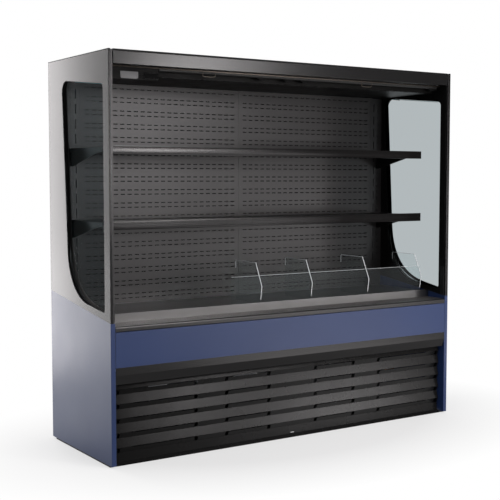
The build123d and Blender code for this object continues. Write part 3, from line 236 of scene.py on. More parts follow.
@dataclass(frozen=True)
class Finish:
    """Opaque finish with a wandering tone, fine relief, and edges lightened by wear and by a
    painted highlight.

    Each span is an axis, and the places on it where the shine starts to fall and is gone: painted
    shade towards the ends of the louvres and rails, and a dark line at the rear and top edges of
    the dark paint.
    """

    name: str
    slot: str
    colour: Triple
    roughness: float = 0.4
    metallic: float = 0.0
    tone: float = 0.1
    mottle: float = 0.25
    grain: Grain = Grain.PEEL
    grain_size: float = 0.0012
    relief: float = 0.05
    # How much edges are lightened: partly rubbed paint, partly a painted highlight on rounded
    # folds.
    edge_wear_and_highlight: float = 0.0
    coat: float = 0.0
    specular: float = 0.5
    haze: float = 0.08
    # Spans where the shine is taken off: painted shade on the louvres and rails, a dark edge line
    # on the dark paint.
    dark_edge_and_painted_shade_spans: tuple[Triple, ...] = ()
    faded_specular: float = 0.02
    rubbed_and_highlight: Triple = (0.55, 0.56, 0.58)

    def build(self) -> bpy.types.Material:
        """Make the node material.

        Returns:
            A material whose tone, roughness and relief vary over the piece.
        """
        nodes = Nodes(bpy.data.materials.new(self.name))
        dark = tuple(c * (1 - self.tone) for c in self.colour)
        light = tuple(min(1.0, c * (1 + self.tone)) for c in self.colour)
        broad = nodes.noise(self.mottle, EVEN, 2.0)
        colour = nodes.blend(nodes.ranged(broad, 0.0, 1.0), dark, light)
        cloud = nodes.noise(self.mottle * 0.35, self.grain.value, 4.0)
        rough = nodes.ranged(cloud, self.roughness * (1 - self.haze),
                             min(1.0, self.roughness * (1 + self.haze)))
        fine = nodes.noise(self.grain_size, self.grain.value, 2.0)
        bump = nodes.add("Bump", Strength=self.relief, Distance=BUMP_DEPTH, Height=fine)
        return nodes.finish(nodes.add(
            "BsdfPrincipled", Metallic=self.metallic, Coat_Weight=self.coat, Roughness=rough,
            Base_Color=self.wear_and_highlight_edges(nodes, colour) if self.edge_wear_and_highlight else colour,
            Specular_IOR_Level=self.seam(nodes) if self.dark_edge_and_painted_shade_spans else self.specular,
            Normal=bump.outputs["Normal"],
        ))

    def seam(self, nodes: Nodes) -> Socket:
        """Take the shine off a piece by its place: painted shade towards the ends of the louvres
        and rails, and a dark line at the rear and top edges of the dark paint.

        Args:
            nodes: The material's nodes.

        Returns:
            The specular level, which falls to nearly nothing past each span.
        """
        where = nodes.place()
        levels = [
            nodes.ranged(nodes.coordinate(where, int(axis)), self.specular, self.faded_specular, start, stop)
            for axis, start, stop in self.dark_edge_and_painted_shade_spans
        ]
        return reduce(partial(nodes.math, "MINIMUM"), levels)

    def wear_and_highlight_edges(self, nodes: Nodes, colour: Socket) -> Socket:
        """Lighten the colour along the edges, as rubbed paint and as a painted highlight on rounded
        folds.

        Args:
            nodes: The material's nodes.
            colour: The colour so far.

        Returns:
            The colour with its edges lightened by wear and by painted highlight.
        """
        dot = nodes.add("VectorMath", operation="DOT_PRODUCT")
        nodes.feed(dot.inputs[0], nodes.add("Bevel", samples=4, Radius=0.0015).outputs["Normal"])
        nodes.feed(dot.inputs[1], nodes.add("NewGeometry").outputs["Normal"])
        # Edges go towards the pale colour: rubbed paint, and a painted highlight where folds catch
        # the light.
        edge = nodes.ranged(dot.outputs["Value"], self.edge_wear_and_highlight, 0.0, 0.75, 0.98)
        rub = nodes.ranged(nodes.noise(0.03, EVEN, 5.0), 0.25, 1.0, 0.4, 0.65)
        return nodes.blend(nodes.math("MULTIPLY", edge, rub), colour, self.rubbed_and_highlight)


@dataclass(frozen=True)
class Clear:
    """Glass or clear plastic with a faint tint, smears and a denser edge."""

    name: str
    slot: str
    tint: Triple
    body: Triple
    density: float = 0.15
    roughness: float = 0.04
    specular: float = 0.5
    rim_power: float = 7.0

    def build(self) -> bpy.types.Material:
        """Make the node material.

        Returns:
            A see-through material with a glossy coat over a thin body colour.
        """
        nodes = Nodes(bpy.data.materials.new(self.name))
        smear = nodes.noise(0.12, (1.0, 1.0, 0.5), 5.0)
        light = tuple(min(1.0, c * 1.1) for c in self.body)
        through = nodes.add("BsdfTransparent", Color=(*self.tint, 1.0))
        surface = nodes.add(
            "BsdfPrincipled", Specular_IOR_Level=self.specular,
            Base_Color=nodes.blend(nodes.ranged(smear, 0.0, 1.0), self.body, light),
            Roughness=nodes.ranged(smear, self.roughness, self.roughness * 2),
        )
        rim = nodes.add("LayerWeight", Blend=0.5).outputs["Facing"]
        share = nodes.math("ADD", nodes.math("POWER", rim, self.rim_power), self.density)
        return nodes.finish(nodes.join("MixShader", through, surface, Fac=share))


class Finishes(Enum):
    """Every finish on the case."""

    BLUE = Finish("satin_blue_paint", "blue_paint", (0.018, 0.038, 0.122), 0.34, tone=0.05,
                  mottle=0.5, grain_size=0.0022, relief=0.06, edge_wear_and_highlight=0.15)
    DARK = Finish("satin_dark_paint", "dark_paint", (0.0085, 0.0082, 0.0084), 0.22, tone=0.06,
                  mottle=0.6, grain_size=0.0018, relief=0.025, edge_wear_and_highlight=0.12, specular=0.45, haze=0.04,
                  dark_edge_and_painted_shade_spans=((1, 0.3615, 0.3625), (2, 2.0035, 2.0045)))
    COVER = Finish("black_cover_paint", "dark_paint", (0.004, 0.004, 0.004), 0.5, mottle=0.4,
                   relief=0.03, specular=0.15)
    # Painted shade: near-black with little shine, for the parts under the canopy and the dark sheet
    # behind the wall slots.
    PAINTED_SHADE = Finish("black_underside_painted_shade", "black_sheet", (0.0035, 0.0033, 0.003), 0.45,
                   grain_size=0.0009, relief=0.04, specular=0.1)
    BLACK_SHEET = Finish("black_powder_coat", "black_sheet", (0.006, 0.006, 0.006), 0.33,
                         grain_size=0.0009, relief=0.04, edge_wear_and_highlight=0.06, specular=0.4)
    # Painted shade: the shine fades towards both ends of the grille. The lightened edges are a
    # painted highlight on the folds.
    LOUVRE = Finish("black_louvre_coat", "black_sheet", (0.0085, 0.0083, 0.0083), 0.27, tone=0.06,
                    mottle=0.5, relief=0.01, edge_wear_and_highlight=0.06, specular=0.42,
                    dark_edge_and_painted_shade_spans=((0, 0.1, -1.1), (0, 0.45, 1.5)))
    WALL_SHEET = Finish("black_wall_coat", "black_sheet", (0.0215, 0.0198, 0.02), 0.34, tone=0.03,
                        mottle=0.8, relief=0.02, haze=0.02)
    PLASTIC = Finish("black_moulded_plastic", "black_plastic", (0.007, 0.007, 0.0073), 0.28,
                     tone=0.08, mottle=0.1, grain_size=0.0006)
    # Painted shade: the shine fades towards the right and down to the lower rail.
    RAIL = Finish("smooth_black_rail", "black_plastic", (0.0095, 0.009, 0.009), 0.26, tone=0.04,
                  mottle=0.5, grain_size=0.002, relief=0.008, specular=0.7, haze=0.02,
                  dark_edge_and_painted_shade_spans=((0, -1.0, 0.45), (2, 1.5, 0.9)))
    NOSING = Finish("smooth_black_nosing", "black_plastic", (0.0095, 0.0092, 0.0095), 0.28,
                    tone=0.04, mottle=0.5, grain_size=0.002, relief=0.008, specular=0.75, haze=0.02)
    BAR = Finish("dark_anodised_bar", "black_plastic", (0.09, 0.078, 0.066), 0.34, 0.9, tone=0.05,
                 grain=Grain.BRUSHED_X, grain_size=0.0008, relief=0.02)
    MATT = Finish("matt_black_plastic", "black_plastic", (0.004, 0.004, 0.004), 0.5, mottle=0.1,
                  relief=0.02, specular=0.1)
    RUBBER = Finish("black_rubber_foot", "black_plastic", (0.02, 0.02, 0.02), 0.75, tone=0.2,
                    mottle=0.08, grain_size=0.0015, relief=0.2)
    GALVANISED = Finish("galvanised_steel", "galvanised", (0.27, 0.275, 0.285), 0.45, 0.85,
                        mottle=0.03, grain_size=0.004, relief=0.03)
    STAINLESS = Finish("brushed_stainless", "stainless", (0.22, 0.218, 0.216), 0.3, 1.0, tone=0.05,
                       mottle=0.4, grain=Grain.BRUSHED_X, grain_size=0.0007, relief=0.08)
    LINER = Finish("grey_tub_liner", "tub_liner", (0.35, 0.36, 0.38), 0.45, tone=0.06,
                   grain_size=0.002)
    TRIM = Finish("bright_trim", "bright_trim", (0.06, 0.059, 0.06), 0.34, 1.0, tone=0.05,
                  grain=Grain.BRUSHED_Z, grain_size=0.0006)
    DISPLAY = Finish("black_display_glass", "display", (0.002, 0.002, 0.0022), 0.4, tone=0.2,
                     mottle=0.05, relief=0.01, specular=0.03)
    PLATE = Finish("pale_plate", "pale_plate", (0.11, 0.11, 0.112), 0.4, tone=0.04, mottle=0.05,
                   grain_size=0.0006)
    # Painted shade: the frosted cover is coloured near-black, as it sits in shade under the canopy.
    SHADED_LIGHT_COVER = Finish("frosted_light_cover_painted_shade", "light_cover", (0.014, 0.0135, 0.013), 0.45, tone=0.03,
                   mottle=0.1, grain_size=0.0008, relief=0.04)
    FINS = Finish("aluminium_fins", "aluminium_fins", (0.62, 0.63, 0.64), 0.35, 1.0, mottle=0.06,
                  grain_size=0.002)
    COPPER = Finish("drawn_copper", "copper", (0.68, 0.32, 0.17), 0.32, 1.0, tone=0.15, mottle=0.05,
                    grain_size=0.002)
    SHELL = Finish("black_enamel_shell", "compressor_black", (0.012, 0.012, 0.014), 0.22,
                   mottle=0.08, grain_size=0.003, relief=0.08, coat=0.3)
    SCREW = Finish("zinc_screw", "galvanised", (0.35, 0.35, 0.36), 0.3, 1.0, mottle=0.02,
                   relief=0.03)
    GRILLE_STEEL = Finish("grey_grille_steel", "galvanised", (0.16, 0.15, 0.15), 0.38, 0.7,
                          tone=0.08, mottle=0.2, grain=Grain.BRUSHED_X, grain_size=0.0008)
    CLOTH = Finish("blind_cloth_weave", "blind_fabric", (0.55, 0.57, 0.6), 0.75, tone=0.06,
                   mottle=0.2, grain_size=0.0008, relief=0.3)
    GLASS = Clear("teal_tinted_glass", "tinted_glass", (0.67, 0.7, 0.71), (0.01, 0.04, 0.043),
                  0.005, 0.1, 0.1)
    # Painted glow: an opaque bright teal band standing for light carried along the glass to its
    # edge.
    GLASS_EDGE_GLOW = Finish("teal_glass_edge_painted_glow", "tinted_glass", (0.05, 0.32, 0.36), 0.25, mottle=0.1,
                        relief=0.01)
    ACRYLIC = Clear("clear_acrylic", "clear_acrylic", (0.96, 0.98, 0.98), (0.45, 0.48, 0.49), 0.02,
                    0.06, 0.3)
    # Painted highlight: an opaque bright band along the acrylic edges.
    ACRYLIC_HIGHLIGHT = Finish("acrylic_edge_painted_highlight", "clear_acrylic", (0.8, 0.83, 0.85), 0.15,
                          tone=0.06, mottle=0.03, relief=0.01, coat=0.3)


CARRIED: dict[Finishes, tuple[str, ...]] = {
    Finishes.BLUE: ("left_lower_end_panel", "right_lower_end_panel", "front_panel"),
    Finishes.DARK: (
        "left_upper_end_panel", "right_upper_end_panel", "canopy_fascia", "lower_valance",
    ),
    Finishes.COVER: ("canopy_top_cover", "roof_panel"),
    Finishes.PAINTED_SHADE: ("canopy_underside", "blind_cassette", "controller_housing"),
    Finishes.BLACK_SHEET: (
        "end_liners", "top_shelf", "lower_shelf", "shelf_brackets", "base_frame", "fan_plenum",
        "condenser_shroud",
    ),
    Finishes.WALL_SHEET: ("back_panels", "rear_uprights"),
    Finishes.LOUVRE: ("lower_grille",),
    Finishes.RAIL: ("top_shelf_rail", "lower_shelf_rail"),
    Finishes.NOSING: ("front_nosing", "corner_trims"),
    Finishes.BAR: ("blind_pull_bar",),
    Finishes.MATT: ("light_switch",),
    Finishes.PLASTIC: (
        "cable_gland", "evaporator_fan_1", "evaporator_fan_2", "evaporator_fan_3", "condenser_fan",
        "discharge_honeycomb", "electrical_box", "condensate_pan",
    ),
    Finishes.RUBBER: ("floor_skids", "levelling_feet"),
    Finishes.GALVANISED: (
        "rear_vent_cover", "rear_wall", "evaporator_fan_motors", "condenser_fan_motor",
        "return_air_grilles",
    ),
    Finishes.LINER: ("tub",),
    Finishes.STAINLESS: ("deck_pan_left", "deck_pan_right", "deck_rail"),
    Finishes.TRIM: ("edge_trims",),
    Finishes.GLASS: ("side_glass",),
    Finishes.ACRYLIC: ("bin_front_panel", "bin_dividers"),
    Finishes.DISPLAY: ("controller_display",),
    Finishes.PLATE: ("controller_plate",),
    Finishes.SHADED_LIGHT_COVER: ("canopy_light",),
    Finishes.FINS: ("evaporator_coil", "condenser_coil", "blind_roller"),
    Finishes.COPPER: ("refrigerant_lines",),
    Finishes.SHELL: ("compressor",),
    Finishes.CLOTH: ("blind_cloth",),
}


class Palette:
    """Builds each finish once and dresses objects in it."""

    def __init__(self) -> None:
        """Start with nothing built."""
        self.built: dict[Finishes, bpy.types.Material] = {}

    def get(self, finish: Finishes) -> bpy.types.Material:
        """Material of a finish, built on first use."""
        if finish not in self.built:
            self.built[finish] = finish.value.build()
        return self.built[finish]

    def dress(self, piece: bpy.types.Object, finish: Finishes) -> None:
        """Give a piece a finish in all its slots."""
        piece.data.materials.clear()
        piece.data.materials.append(self.get(finish))

    def carry(self, nodes: dict[str, bpy.types.Object]) -> None:
        """Dress every node of the frame.

        Args:
            nodes: The frame's objects by the names of their nodes.
        """
        for finish, names in CARRIED.items():
            for name in names:
                self.dress(nodes[name], finish)


# ---------------------------------------------------------------- making pieces


def shown(name: str, data: bpy.types.ID) -> bpy.types.Object:
    """Make an object and link it to the scene.

    Args:
        name: Name of the object.
        data: Its mesh, lamp or camera.

    Returns:
        The object.
    """
    made = bpy.data.objects.new(name, data)
    bpy.context.scene.collection.objects.link(made)
    return made


def box(bm: Mesh, low: Vector, high: Vector, bevel: float = 0.0) -> None:
    """Add a box between two corners.

    Args:
        bm: Mesh under work.
        low: Lowest corner.
        high: Highest corner.
        bevel: Radius of its edges.
    """
    verts = bmesh.ops.create_cube(bm, size=1.0)["verts"]
    bmesh.ops.scale(bm, vec=high - low, verts=verts)
    bmesh.ops.translate(bm, vec=(high + low) / 2, verts=verts)
    if bevel:
        edges = list({edge for vert in verts for edge in vert.link_edges})
        bmesh.ops.bevel(bm, geom=edges, offset=bevel, offset_type="OFFSET", segments=2,
                        profile=0.5, affect="EDGES", material=-1, clamp_overlap=True)


def prism(bm: Mesh, outline: Sequence[Vector], reach: Vector) -> None:
    """Add the solid swept by an outline.

    Args:
        bm: Mesh under work.
        outline: Corners of a flat outline.
        reach: How far and which way it is swept.
    """
    face = bm.faces.new([bm.verts.new(corner) for corner in outline])
    swept = bmesh.ops.extrude_face_region(bm, geom=[face])["geom"]
    moved = [item for item in swept if isinstance(item, bmesh.types.BMVert)]
    bmesh.ops.translate(bm, vec=reach, verts=moved)


def hexagon(bm: Mesh, place: Matrix, start: float, end: float, radius: float) -> None:
    """Add a six-sided nut.

    Args:
        bm: Mesh under work.
        place: Its axis, as the Z axis of this placement.
        start: Where it starts on its axis.
        end: Where it ends.
        radius: Radius at its corners.
    """
    low, high = (place @ Vector((0, 0, reach)) for reach in (start, end))
    turn = Vector((0, 0, 1)).rotation_difference(high - low).to_matrix().to_4x4()
    bmesh.ops.create_cone(bm, cap_ends=True, segments=6, radius1=radius, radius2=radius,
                          depth=(high - low).length,
                          matrix=Matrix.Translation((low + high) / 2) @ turn)


def spaced(start: float, pitch: float, count: int) -> list[float]:
    """Places at an even pitch."""
    return [start + pitch * number for number in range(count)]


def slots(start: float, end: float, middles: Iterable[float], width: float) -> list[float]:
    """Lines of a sheet from start to end, with a pair of them for each slot."""
    return [start, end, *(middle + side * width / 2 for middle in middles for side in SIDES)]


def punched(bm: Mesh, across: Iterable[float], up: Iterable[float], place: Matrix,
            thickness: float, is_hole: Callable[[float, float], bool] | None = None) -> None:
    """Add a sheet with rectangular holes.

    Args:
        bm: Mesh under work.
        across: Lines of the sheet's grid in one direction, in millimetres.
        up: Lines in the other direction, in millimetres.
        place: Moves the sheet from the XY plane to where it belongs.
        thickness: Thickness behind the sheet, in metres.
        is_hole: Whether the cell round that middle point is cut out. If left out, the holes
            are the slots of both ways, which are every second cell.
    """
    xs, ys = sorted(across), sorted(up)
    columns, rows = len(xs) - 1, len(ys) - 1
    verts = bmesh.ops.create_grid(bm, x_segments=columns, y_segments=rows, size=1.0)["verts"]
    for vert in verts:
        vert.co.x = xs[round((vert.co.x + 1) / 2 * columns)] / 1000
        vert.co.y = ys[round((vert.co.y + 1) / 2 * rows)] / 1000
    faces = list({face for vert in verts for face in vert.link_faces})

    def in_slot(x: float, y: float) -> bool:
        """Whether a point lies between the two lines of a slot both ways."""
        return bisect(xs, x) % 2 == 0 and bisect(ys, y) % 2 == 0

    cut = is_hole or in_slot
    middles = {face: face.calc_center_median() * 1000 for face in faces}
    holes = [face for face, middle in middles.items() if cut(middle.x, middle.y)]
    bmesh.ops.delete(bm, geom=holes, context="FACES")
    kept = [face for face in faces if face.is_valid]
    bmesh.ops.transform(bm, matrix=place, verts=list({v for f in kept for v in f.verts}))
    bmesh.ops.solidify(bm, geom=kept, thickness=thickness)


def lathe(bm: Mesh, profile: Sequence[Pair], place: Matrix, steps: int = 24) -> None:
    """Add a turned shape.

    Args:
        bm: Mesh under work.
        profile: Radius and height of each point, in millimetres.
        place: Moves the shape from the Z axis to where it belongs.
        steps: Number of sides.
    """
    before = set(bm.verts)
    line = [bm.verts.new(mm(radius, 0, height)) for radius, height in profile]
    edges = [bm.edges.new(pair) for pair in zip(line, line[1:])]
    bmesh.ops.spin(bm, geom=line + edges, cent=(0, 0, 0), axis=(0, 0, 1),
                   angle=math.tau, steps=steps, use_merge=True)
    made = [vert for vert in bm.verts if vert not in before]
    bmesh.ops.remove_doubles(bm, verts=made, dist=MERGE)
    made = [vert for vert in bm.verts if vert not in before]
    bmesh.ops.transform(bm, matrix=place, verts=made)


def along(direction: Triple, origin: Iterable[float]) -> Matrix:
    """Placement whose Z axis points along a direction from an origin."""
    turn = Vector((0, 0, 1)).rotation_difference(Vector(direction)).to_matrix().to_4x4()
    return Matrix.Translation(origin) @ turn


def rounded(points: Sequence[Vector], radius: float, steps: int,
            closed: bool = False) -> list[Vector]:
    """Round the corners of a route.

    Args:
        points: Corners of the route.
        radius: Length cut from each run at a corner.
        steps: Points along each bend.
        closed: Whether the last point joins the first.

    Returns:
        The points of the rounded route.
    """
    count = len(points)
    route = [] if closed else [points[0]]
    for number in range(0 if closed else 1, count if closed else count - 1):
        before, corner, after = (points[(number + step) % count] for step in (-1, 0, 1))
        start = corner + (before - corner).normalized() * radius
        end = corner + (after - corner).normalized() * radius
        for step in range(steps + 1):
            share = step / steps
            first, second = start.lerp(corner, share), corner.lerp(end, share)
            route.append(first.lerp(second, share))
    return route if closed else route + [points[-1]]


def tube(bm: Mesh, route: Sequence[Vector], radius: float, sides: int,
         closed: bool = False) -> None:
    """Add a round tube along a route.

    Args:
        bm: Mesh under work.
        route: Points of its centre line.
        radius: Radius of the tube.
        sides: Roundness of its section.
        closed: Whether the tube meets its own start.
    """
    curve = bpy.data.curves.new("route", "CURVE")
    curve.dimensions = "3D"
    curve.bevel_depth = radius
    curve.bevel_resolution = sides
    curve.use_fill_caps = not closed
    line = curve.splines.new("POLY")
    line.points.add(len(route) - 1)
    for point, where in zip(line.points, route):
        point.co = (*where, 1.0)
    line.use_cyclic_u = closed
    holder = bpy.data.objects.new("route", curve)
    mesh = bpy.data.meshes.new_from_object(holder)
    bm.from_mesh(mesh)
    bpy.data.meshes.remove(mesh)
    bpy.data.objects.remove(holder)
    bpy.data.curves.remove(curve)


@dataclass
class Assembly:
    """Group of pieces with the finishes that they share."""

    palette: Palette
    body: str = "case"

    def piece(self, name: str, bm: Mesh, finish: Finishes, stands_for: tuple[str, ...] = (),
              body: str = "", rides: bool = True) -> bpy.types.Object:
        """Turn a mesh into a finished piece.

        Args:
            name: Name of the piece.
            bm: Its mesh, in its place.
            finish: What it is finished in.
            stands_for: CAD nodes that it replaces.
            body: Body it rides on, if not the assembly's own.
            rides: Whether it follows one body, rather than two.

        Returns:
            The piece.
        """
        bmesh.ops.remove_doubles(bm, verts=bm.verts, dist=MERGE)
        bmesh.ops.recalc_face_normals(bm, faces=bm.faces)
        mesh = bpy.data.meshes.new(name)
        bm.to_mesh(mesh)
        bm.free()
        for polygon in mesh.polygons:
            polygon.use_smooth = True
        mesh.set_sharp_from_angle(angle=SHARP_ANGLE)
        made = shown(name, mesh)
        self.palette.dress(made, finish)
        if rides:
            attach(made, body or self.body)
        if stands_for:
            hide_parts(*stands_for)
        log.info("made %s: %d faces", name, len(mesh.polygons))
        return made

    def screws(self, name: str, spots: Iterable[Vector], out: Triple, finish: Finishes,
               size: float = 4.5) -> None:
        """Make a piece of domed screw heads with a cross recess.

        Args:
            name: Name of the piece.
            spots: Where they sit on the sheet.
            out: Direction they face.
            finish: What they are finished in.
            size: Radius of a head, in millimetres.
        """
        bm = bmesh.new()
        dome = ((0, 0.18), (0.28, 0.2), (0.34, 0.5), (0.75, 0.38), (1.0, 0.0))
        for spot in spots:
            lathe(bm, [(size * radius, size * height) for radius, height in dome],
                  along(out, spot), 10)
        self.piece(name, bm, finish)


@dataclass(frozen=True)
class SlotColumn:
    """Column of slots in an upright, in millimetres, from a place below the upright's head."""

    middle: float
    half_width: float
    half_height: float
    pitch: float
    below: float

    def rows(self, head: float, count: int) -> list[float]:
        """Heights of its slots, from the highest down."""
        return spaced(head - self.below, -self.pitch, count)


@dataclass
class BackWall(Assembly):
    """Perforated back panels between punched uprights."""

    face: float = 222.0
    sheet: float = 1.5
    seam: float = 0.5
    edge: float = 988.0
    side_margin: float = 12.0
    foot: float = 690.0
    top: float = 1898.0
    head_margin: float = 10.0
    slot: Pair = (27.0, 5.0)
    slot_pitch: float = 41.1
    row_pitch: float = 70.5
    row_gap: float = 23.5
    first_row: float = 1899.0
    last_row: float = 735.0
    upright_edge: float = 988.3
    inner: float = 1075.7
    depth: float = 314.7
    upright_foot: float = 535.0
    brackets: SlotColumn = SlotColumn(1011.0, 2.5, 24.5, 78.0, 60.0)
    hooks: SlotColumn = SlotColumn(1040.0, 1.5, 7.0, 39.0, 40.0)
    bracket_count: int = 14
    duct_foot: float = 660.0
    screw_columns: Pair = (12.0, 978.0)
    screw_rows: Triple = (1797.0, 1350.0, 905.0)

    def sheeting(self, across: Iterable[float], up: Iterable[float],
                 is_hole: Callable[[float, float], bool] | None = None) -> Mesh:
        """Upright punched sheet, with its face to the front.

        Args:
            across: Its upright lines, in millimetres.
            up: Its level lines, in millimetres.
            is_hole: Which cells are cut out, as for punched().

        Returns:
            A mesh with the sheet in it.
        """
        bm = bmesh.new()
        place = Matrix.Translation(mm(0, self.face, 0)) @ UPRIGHT
        punched(bm, across, up, place, -self.sheet / 1000, is_hole)
        return bm

    def panel(self, side: int) -> None:
        """Make a perforated panel.

        Args:
            side: -1 for the left panel, 1 for the right one.
        """
        length = self.edge - self.seam
        count = int((length - self.side_margin) // self.slot_pitch)
        first = self.seam + (length - (count - 1) * self.slot_pitch) / 2
        columns = [side * x for x in spaced(first, self.slot_pitch, count)]
        rows, row = [], self.first_row
        while row - self.row_gap > self.last_row:
            rows += [z for z in (row, row - self.row_gap) if z < self.top - self.head_margin]
            row -= self.row_pitch
        bm = self.sheeting(slots(side * self.seam, side * self.edge, columns, self.slot[0]),
                           slots(self.foot, self.top, rows, self.slot[1]))
        self.piece(f"{SIDES[side]}_back_panel", bm, Finishes.WALL_SHEET, ("back_panels",))

    def upright(self, side: int) -> None:
        """Make a corner upright, with its two columns of slots and its flanges.

        Args:
            side: -1 for the left upright, 1 for the right one.
        """
        counts = {self.brackets: self.bracket_count, self.hooks: 2 * self.bracket_count + 1}
        across, up, cuts = {self.upright_edge, self.inner}, {self.upright_foot, self.top}, []
        for column, count in counts.items():
            across |= {column.middle + way * column.half_width for way in SIDES}
            for row in column.rows(self.top, count):
                up |= {row + way * column.half_height for way in SIDES}
                cuts.append((column, row))
        bm = self.sheeting(
            [side * x for x in across], up,
            lambda x, z: any(abs(abs(x) - column.middle) < column.half_width
                             and abs(z - row) < column.half_height for column, row in cuts),
        )
        bend = self.upright_edge + self.sheet
        for start, end, front in ((self.upright_edge, bend, self.face + self.sheet),
                                  (bend, self.edge + 30, self.depth - self.sheet)):
            xs = sorted((side * start, side * end))
            box(bm, mm(xs[0], front, self.upright_foot), mm(xs[1], self.depth, self.top))
        self.piece(f"{SIDES[side]}_upright", bm, Finishes.WALL_SHEET, ("rear_uprights",))

    def channel(self) -> None:
        """Folded channel behind the seam of the panels."""
        bm = bmesh.new()
        for near, far, front, back in ((-30, -28.5, 225.1, self.depth),
                                       (28.5, 30, 225.1, self.depth),
                                       (-28.5, 28.5, 223.8, 225.3)):
            box(bm, mm(near, front, self.upright_foot), mm(far, back, self.top))
        self.piece("middle_channel", bm, Finishes.WALL_SHEET, ("rear_uprights",))

    def duct(self) -> None:
        """Dark sheet just before the rear wall: painted shade seen through the slots."""
        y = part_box("rear_wall")[0].y * 1000
        bm = bmesh.new()
        box(bm, mm(-self.inner, y - 0.9, self.duct_foot), mm(self.inner, y - 0.1, self.top))
        self.piece("duct_shade_sheet", bm, Finishes.PAINTED_SHADE)

    def build(self) -> None:
        """Make the back wall."""
        for make in (self.panel, self.upright):
            for side in SIDES:
                make(side)
        self.channel()
        self.duct()
        spots = [mm(side * x, self.face, z) for side in SIDES for x in self.screw_columns
                 for z in self.screw_rows]
        self.screws("wall_screws", spots, (0, -1, 0), Finishes.WALL_SHEET)


@dataclass
class Shelving(Assembly):
    """Front rails of the two shelves, with their end caps."""

    front: float = -182.0
    back: float = -170.3
    half: float = 1045.0
    cap: float = 4.0
    groove: float = 2.6

    def rail(self, name: str, node: str, low: float, high: float, ridges: int) -> None:
        """Extruded rail whose lower edge is rounded.

        Args:
            name: Name of the piece.
            node: CAD node that it replaces.
            low: Its lowest z.
            high: Its highest z.
            ridges: Number of raised bands across its face.
        """
        face = [(self.front + 5, low), (self.front + 1.5, low + 1.5), (self.front, low + 5)]
        pitch = (high - low) / ridges
        for middle in spaced(low + pitch, pitch, ridges - 1):
            face += [(self.front, middle - 4), (self.front + self.groove, middle - 2.8),
                     (self.front + self.groove, middle + 2.8), (self.front, middle + 4)]
        face += [(self.front, high - 2), (self.front + 1, high), (self.back - 1, high),
                 (self.back, high - 1), (self.back, low + 1), (self.back - 1, low)]
        bm = bmesh.new()
        prism(bm, [mm(self.cap - self.half, y, z) for y, z in face],
              mm(2 * (self.half - self.cap), 0, 0))
        self.piece(name, bm, Finishes.RAIL, (node,))
        bm = bmesh.new()
        for x in (-self.half, self.half - self.cap):
            box(bm, mm(x, self.front, low), mm(x + self.cap, self.back, high), 0.0013)
        self.piece(name + "_caps", bm, Finishes.RAIL, (node,))

    def build(self) -> None:
        """Make both rails."""
        self.rail("top_rail", "top_shelf_rail", 1515.0, 1559.0, 1)
        self.rail("lower_rail", "lower_shelf_rail", 1141.5, 1189.0, 3)


@dataclass
class AirGrilles(Assembly):
    """Return-air grille before the deck and the honeycomb over the open front."""

    half: float = 1074.0
    sections: int = 4
    end_margin: float = 14.0
    slot: Pair = (5.0, 24.0)
    slot_pitch: float = 9.7
    slot_rows: Triple = (26.0, 60.0, 94.0)
    sheet: float = 1.8
    cells: int = 240
    cell_rows: int = 3
    cell_pitch: float = 9.5
    cell: Pair = (7.8, 8.2)

    def intake(self, number: int) -> None:
        """Make a section of the finely slotted grille in front of the deck.

        Args:
            number: Which section, from 0 at the left.
        """
        low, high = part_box("return_air_grilles")
        front, top = low.y * 1000, high.z * 1000
        length = 2 * self.half / self.sections
        left = -self.half + number * length + 0.5
        right = left + length - 1
        count = int((length - self.end_margin) // self.slot_pitch)
        margin = (length - 1 - (count - 1) * self.slot_pitch) / 2
        middles = spaced(left + margin, self.slot_pitch, count)
        bm = bmesh.new()
        punched(bm, slots(left, right, middles, self.slot[0]),
                slots(front, high.y * 1000, [front + y for y in self.slot_rows], self.slot[1]),
                Matrix.Translation((0, 0, high.z)), self.sheet / 1000)
        box(bm, mm(left, front, low.z * 1000), mm(right, front + 2, top - 0.2), 0.0006)
        self.piece(f"intake_grille_{number + 1}", bm, Finishes.GRILLE_STEEL,
                   ("return_air_grilles",))

    def outlet(self) -> None:
        """Honeycomb that the cold air falls from."""
        low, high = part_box("discharge_honeycomb")
        left, right, front = low.x * 1000, high.x * 1000, low.y * 1000
        pitch = (right - left) / self.cells
        bm = bmesh.new()
        punched(bm, slots(left, right, spaced(left + pitch / 2, pitch, self.cells), self.cell[0]),
                slots(front, high.y * 1000,
                      spaced(front + 5.5, self.cell_pitch, self.cell_rows), self.cell[1]),
                Matrix.Translation((0, 0, high.z)), high.z - low.z)
        self.piece("outlet_honeycomb", bm, Finishes.PLASTIC, ("discharge_honeycomb",))

    def build(self) -> None:
        """Make both grilles."""
        for number in range(self.sections):
            self.intake(number)
        self.outlet()


@dataclass
class ProduceBin(Assembly):
    """Painted highlight bands on the polished edges of the clear bin."""

    body: str = "produce_bin"
    right: float = 1010.0
    left: float = -328.0
    setbacks: tuple[float, ...] = (1155.0, 817.0, 411.0, 7.0)
    front: float = -226.0
    crown: float = 943.0
    shortest: float = 12.0
    clearance: float = 1.9

    def build(self) -> None:
        """Lay a painted highlight band on each polished edge."""
        y, top = self.front, self.crown
        bm = bmesh.new()
        nose = ((y + 0.2, 745.5), (y - 12, 818), (y + 48, top))
        brow = ((y + 48, top), (y + 249, top), (y + 249, top - 43))
        dividers = [self.right - setback for setback in self.setbacks]
        for x in dividers:
            for edge, radius in ((nose, 0.0021), (brow, 0.0009)):
                tube(bm, rounded([mm(x, *point) for point in edge], 0.006, 3), radius, 1)
        self.piece("divider_edge_highlights", bm, Finishes.ACRYLIC_HIGHLIGHT)
        bm = bmesh.new()
        spots = sorted([self.left, *dividers, self.right])
        for start, end in zip(spots, spots[1:]):
            if end - start > self.shortest:
                box(bm, mm(start + self.clearance, y + 4.4, 874.7),
                    mm(end - self.clearance, y + 7.6, 875.9), 0.0005)
        self.piece("bin_front_edge_highlight", bm, Finishes.ACRYLIC_HIGHLIGHT)


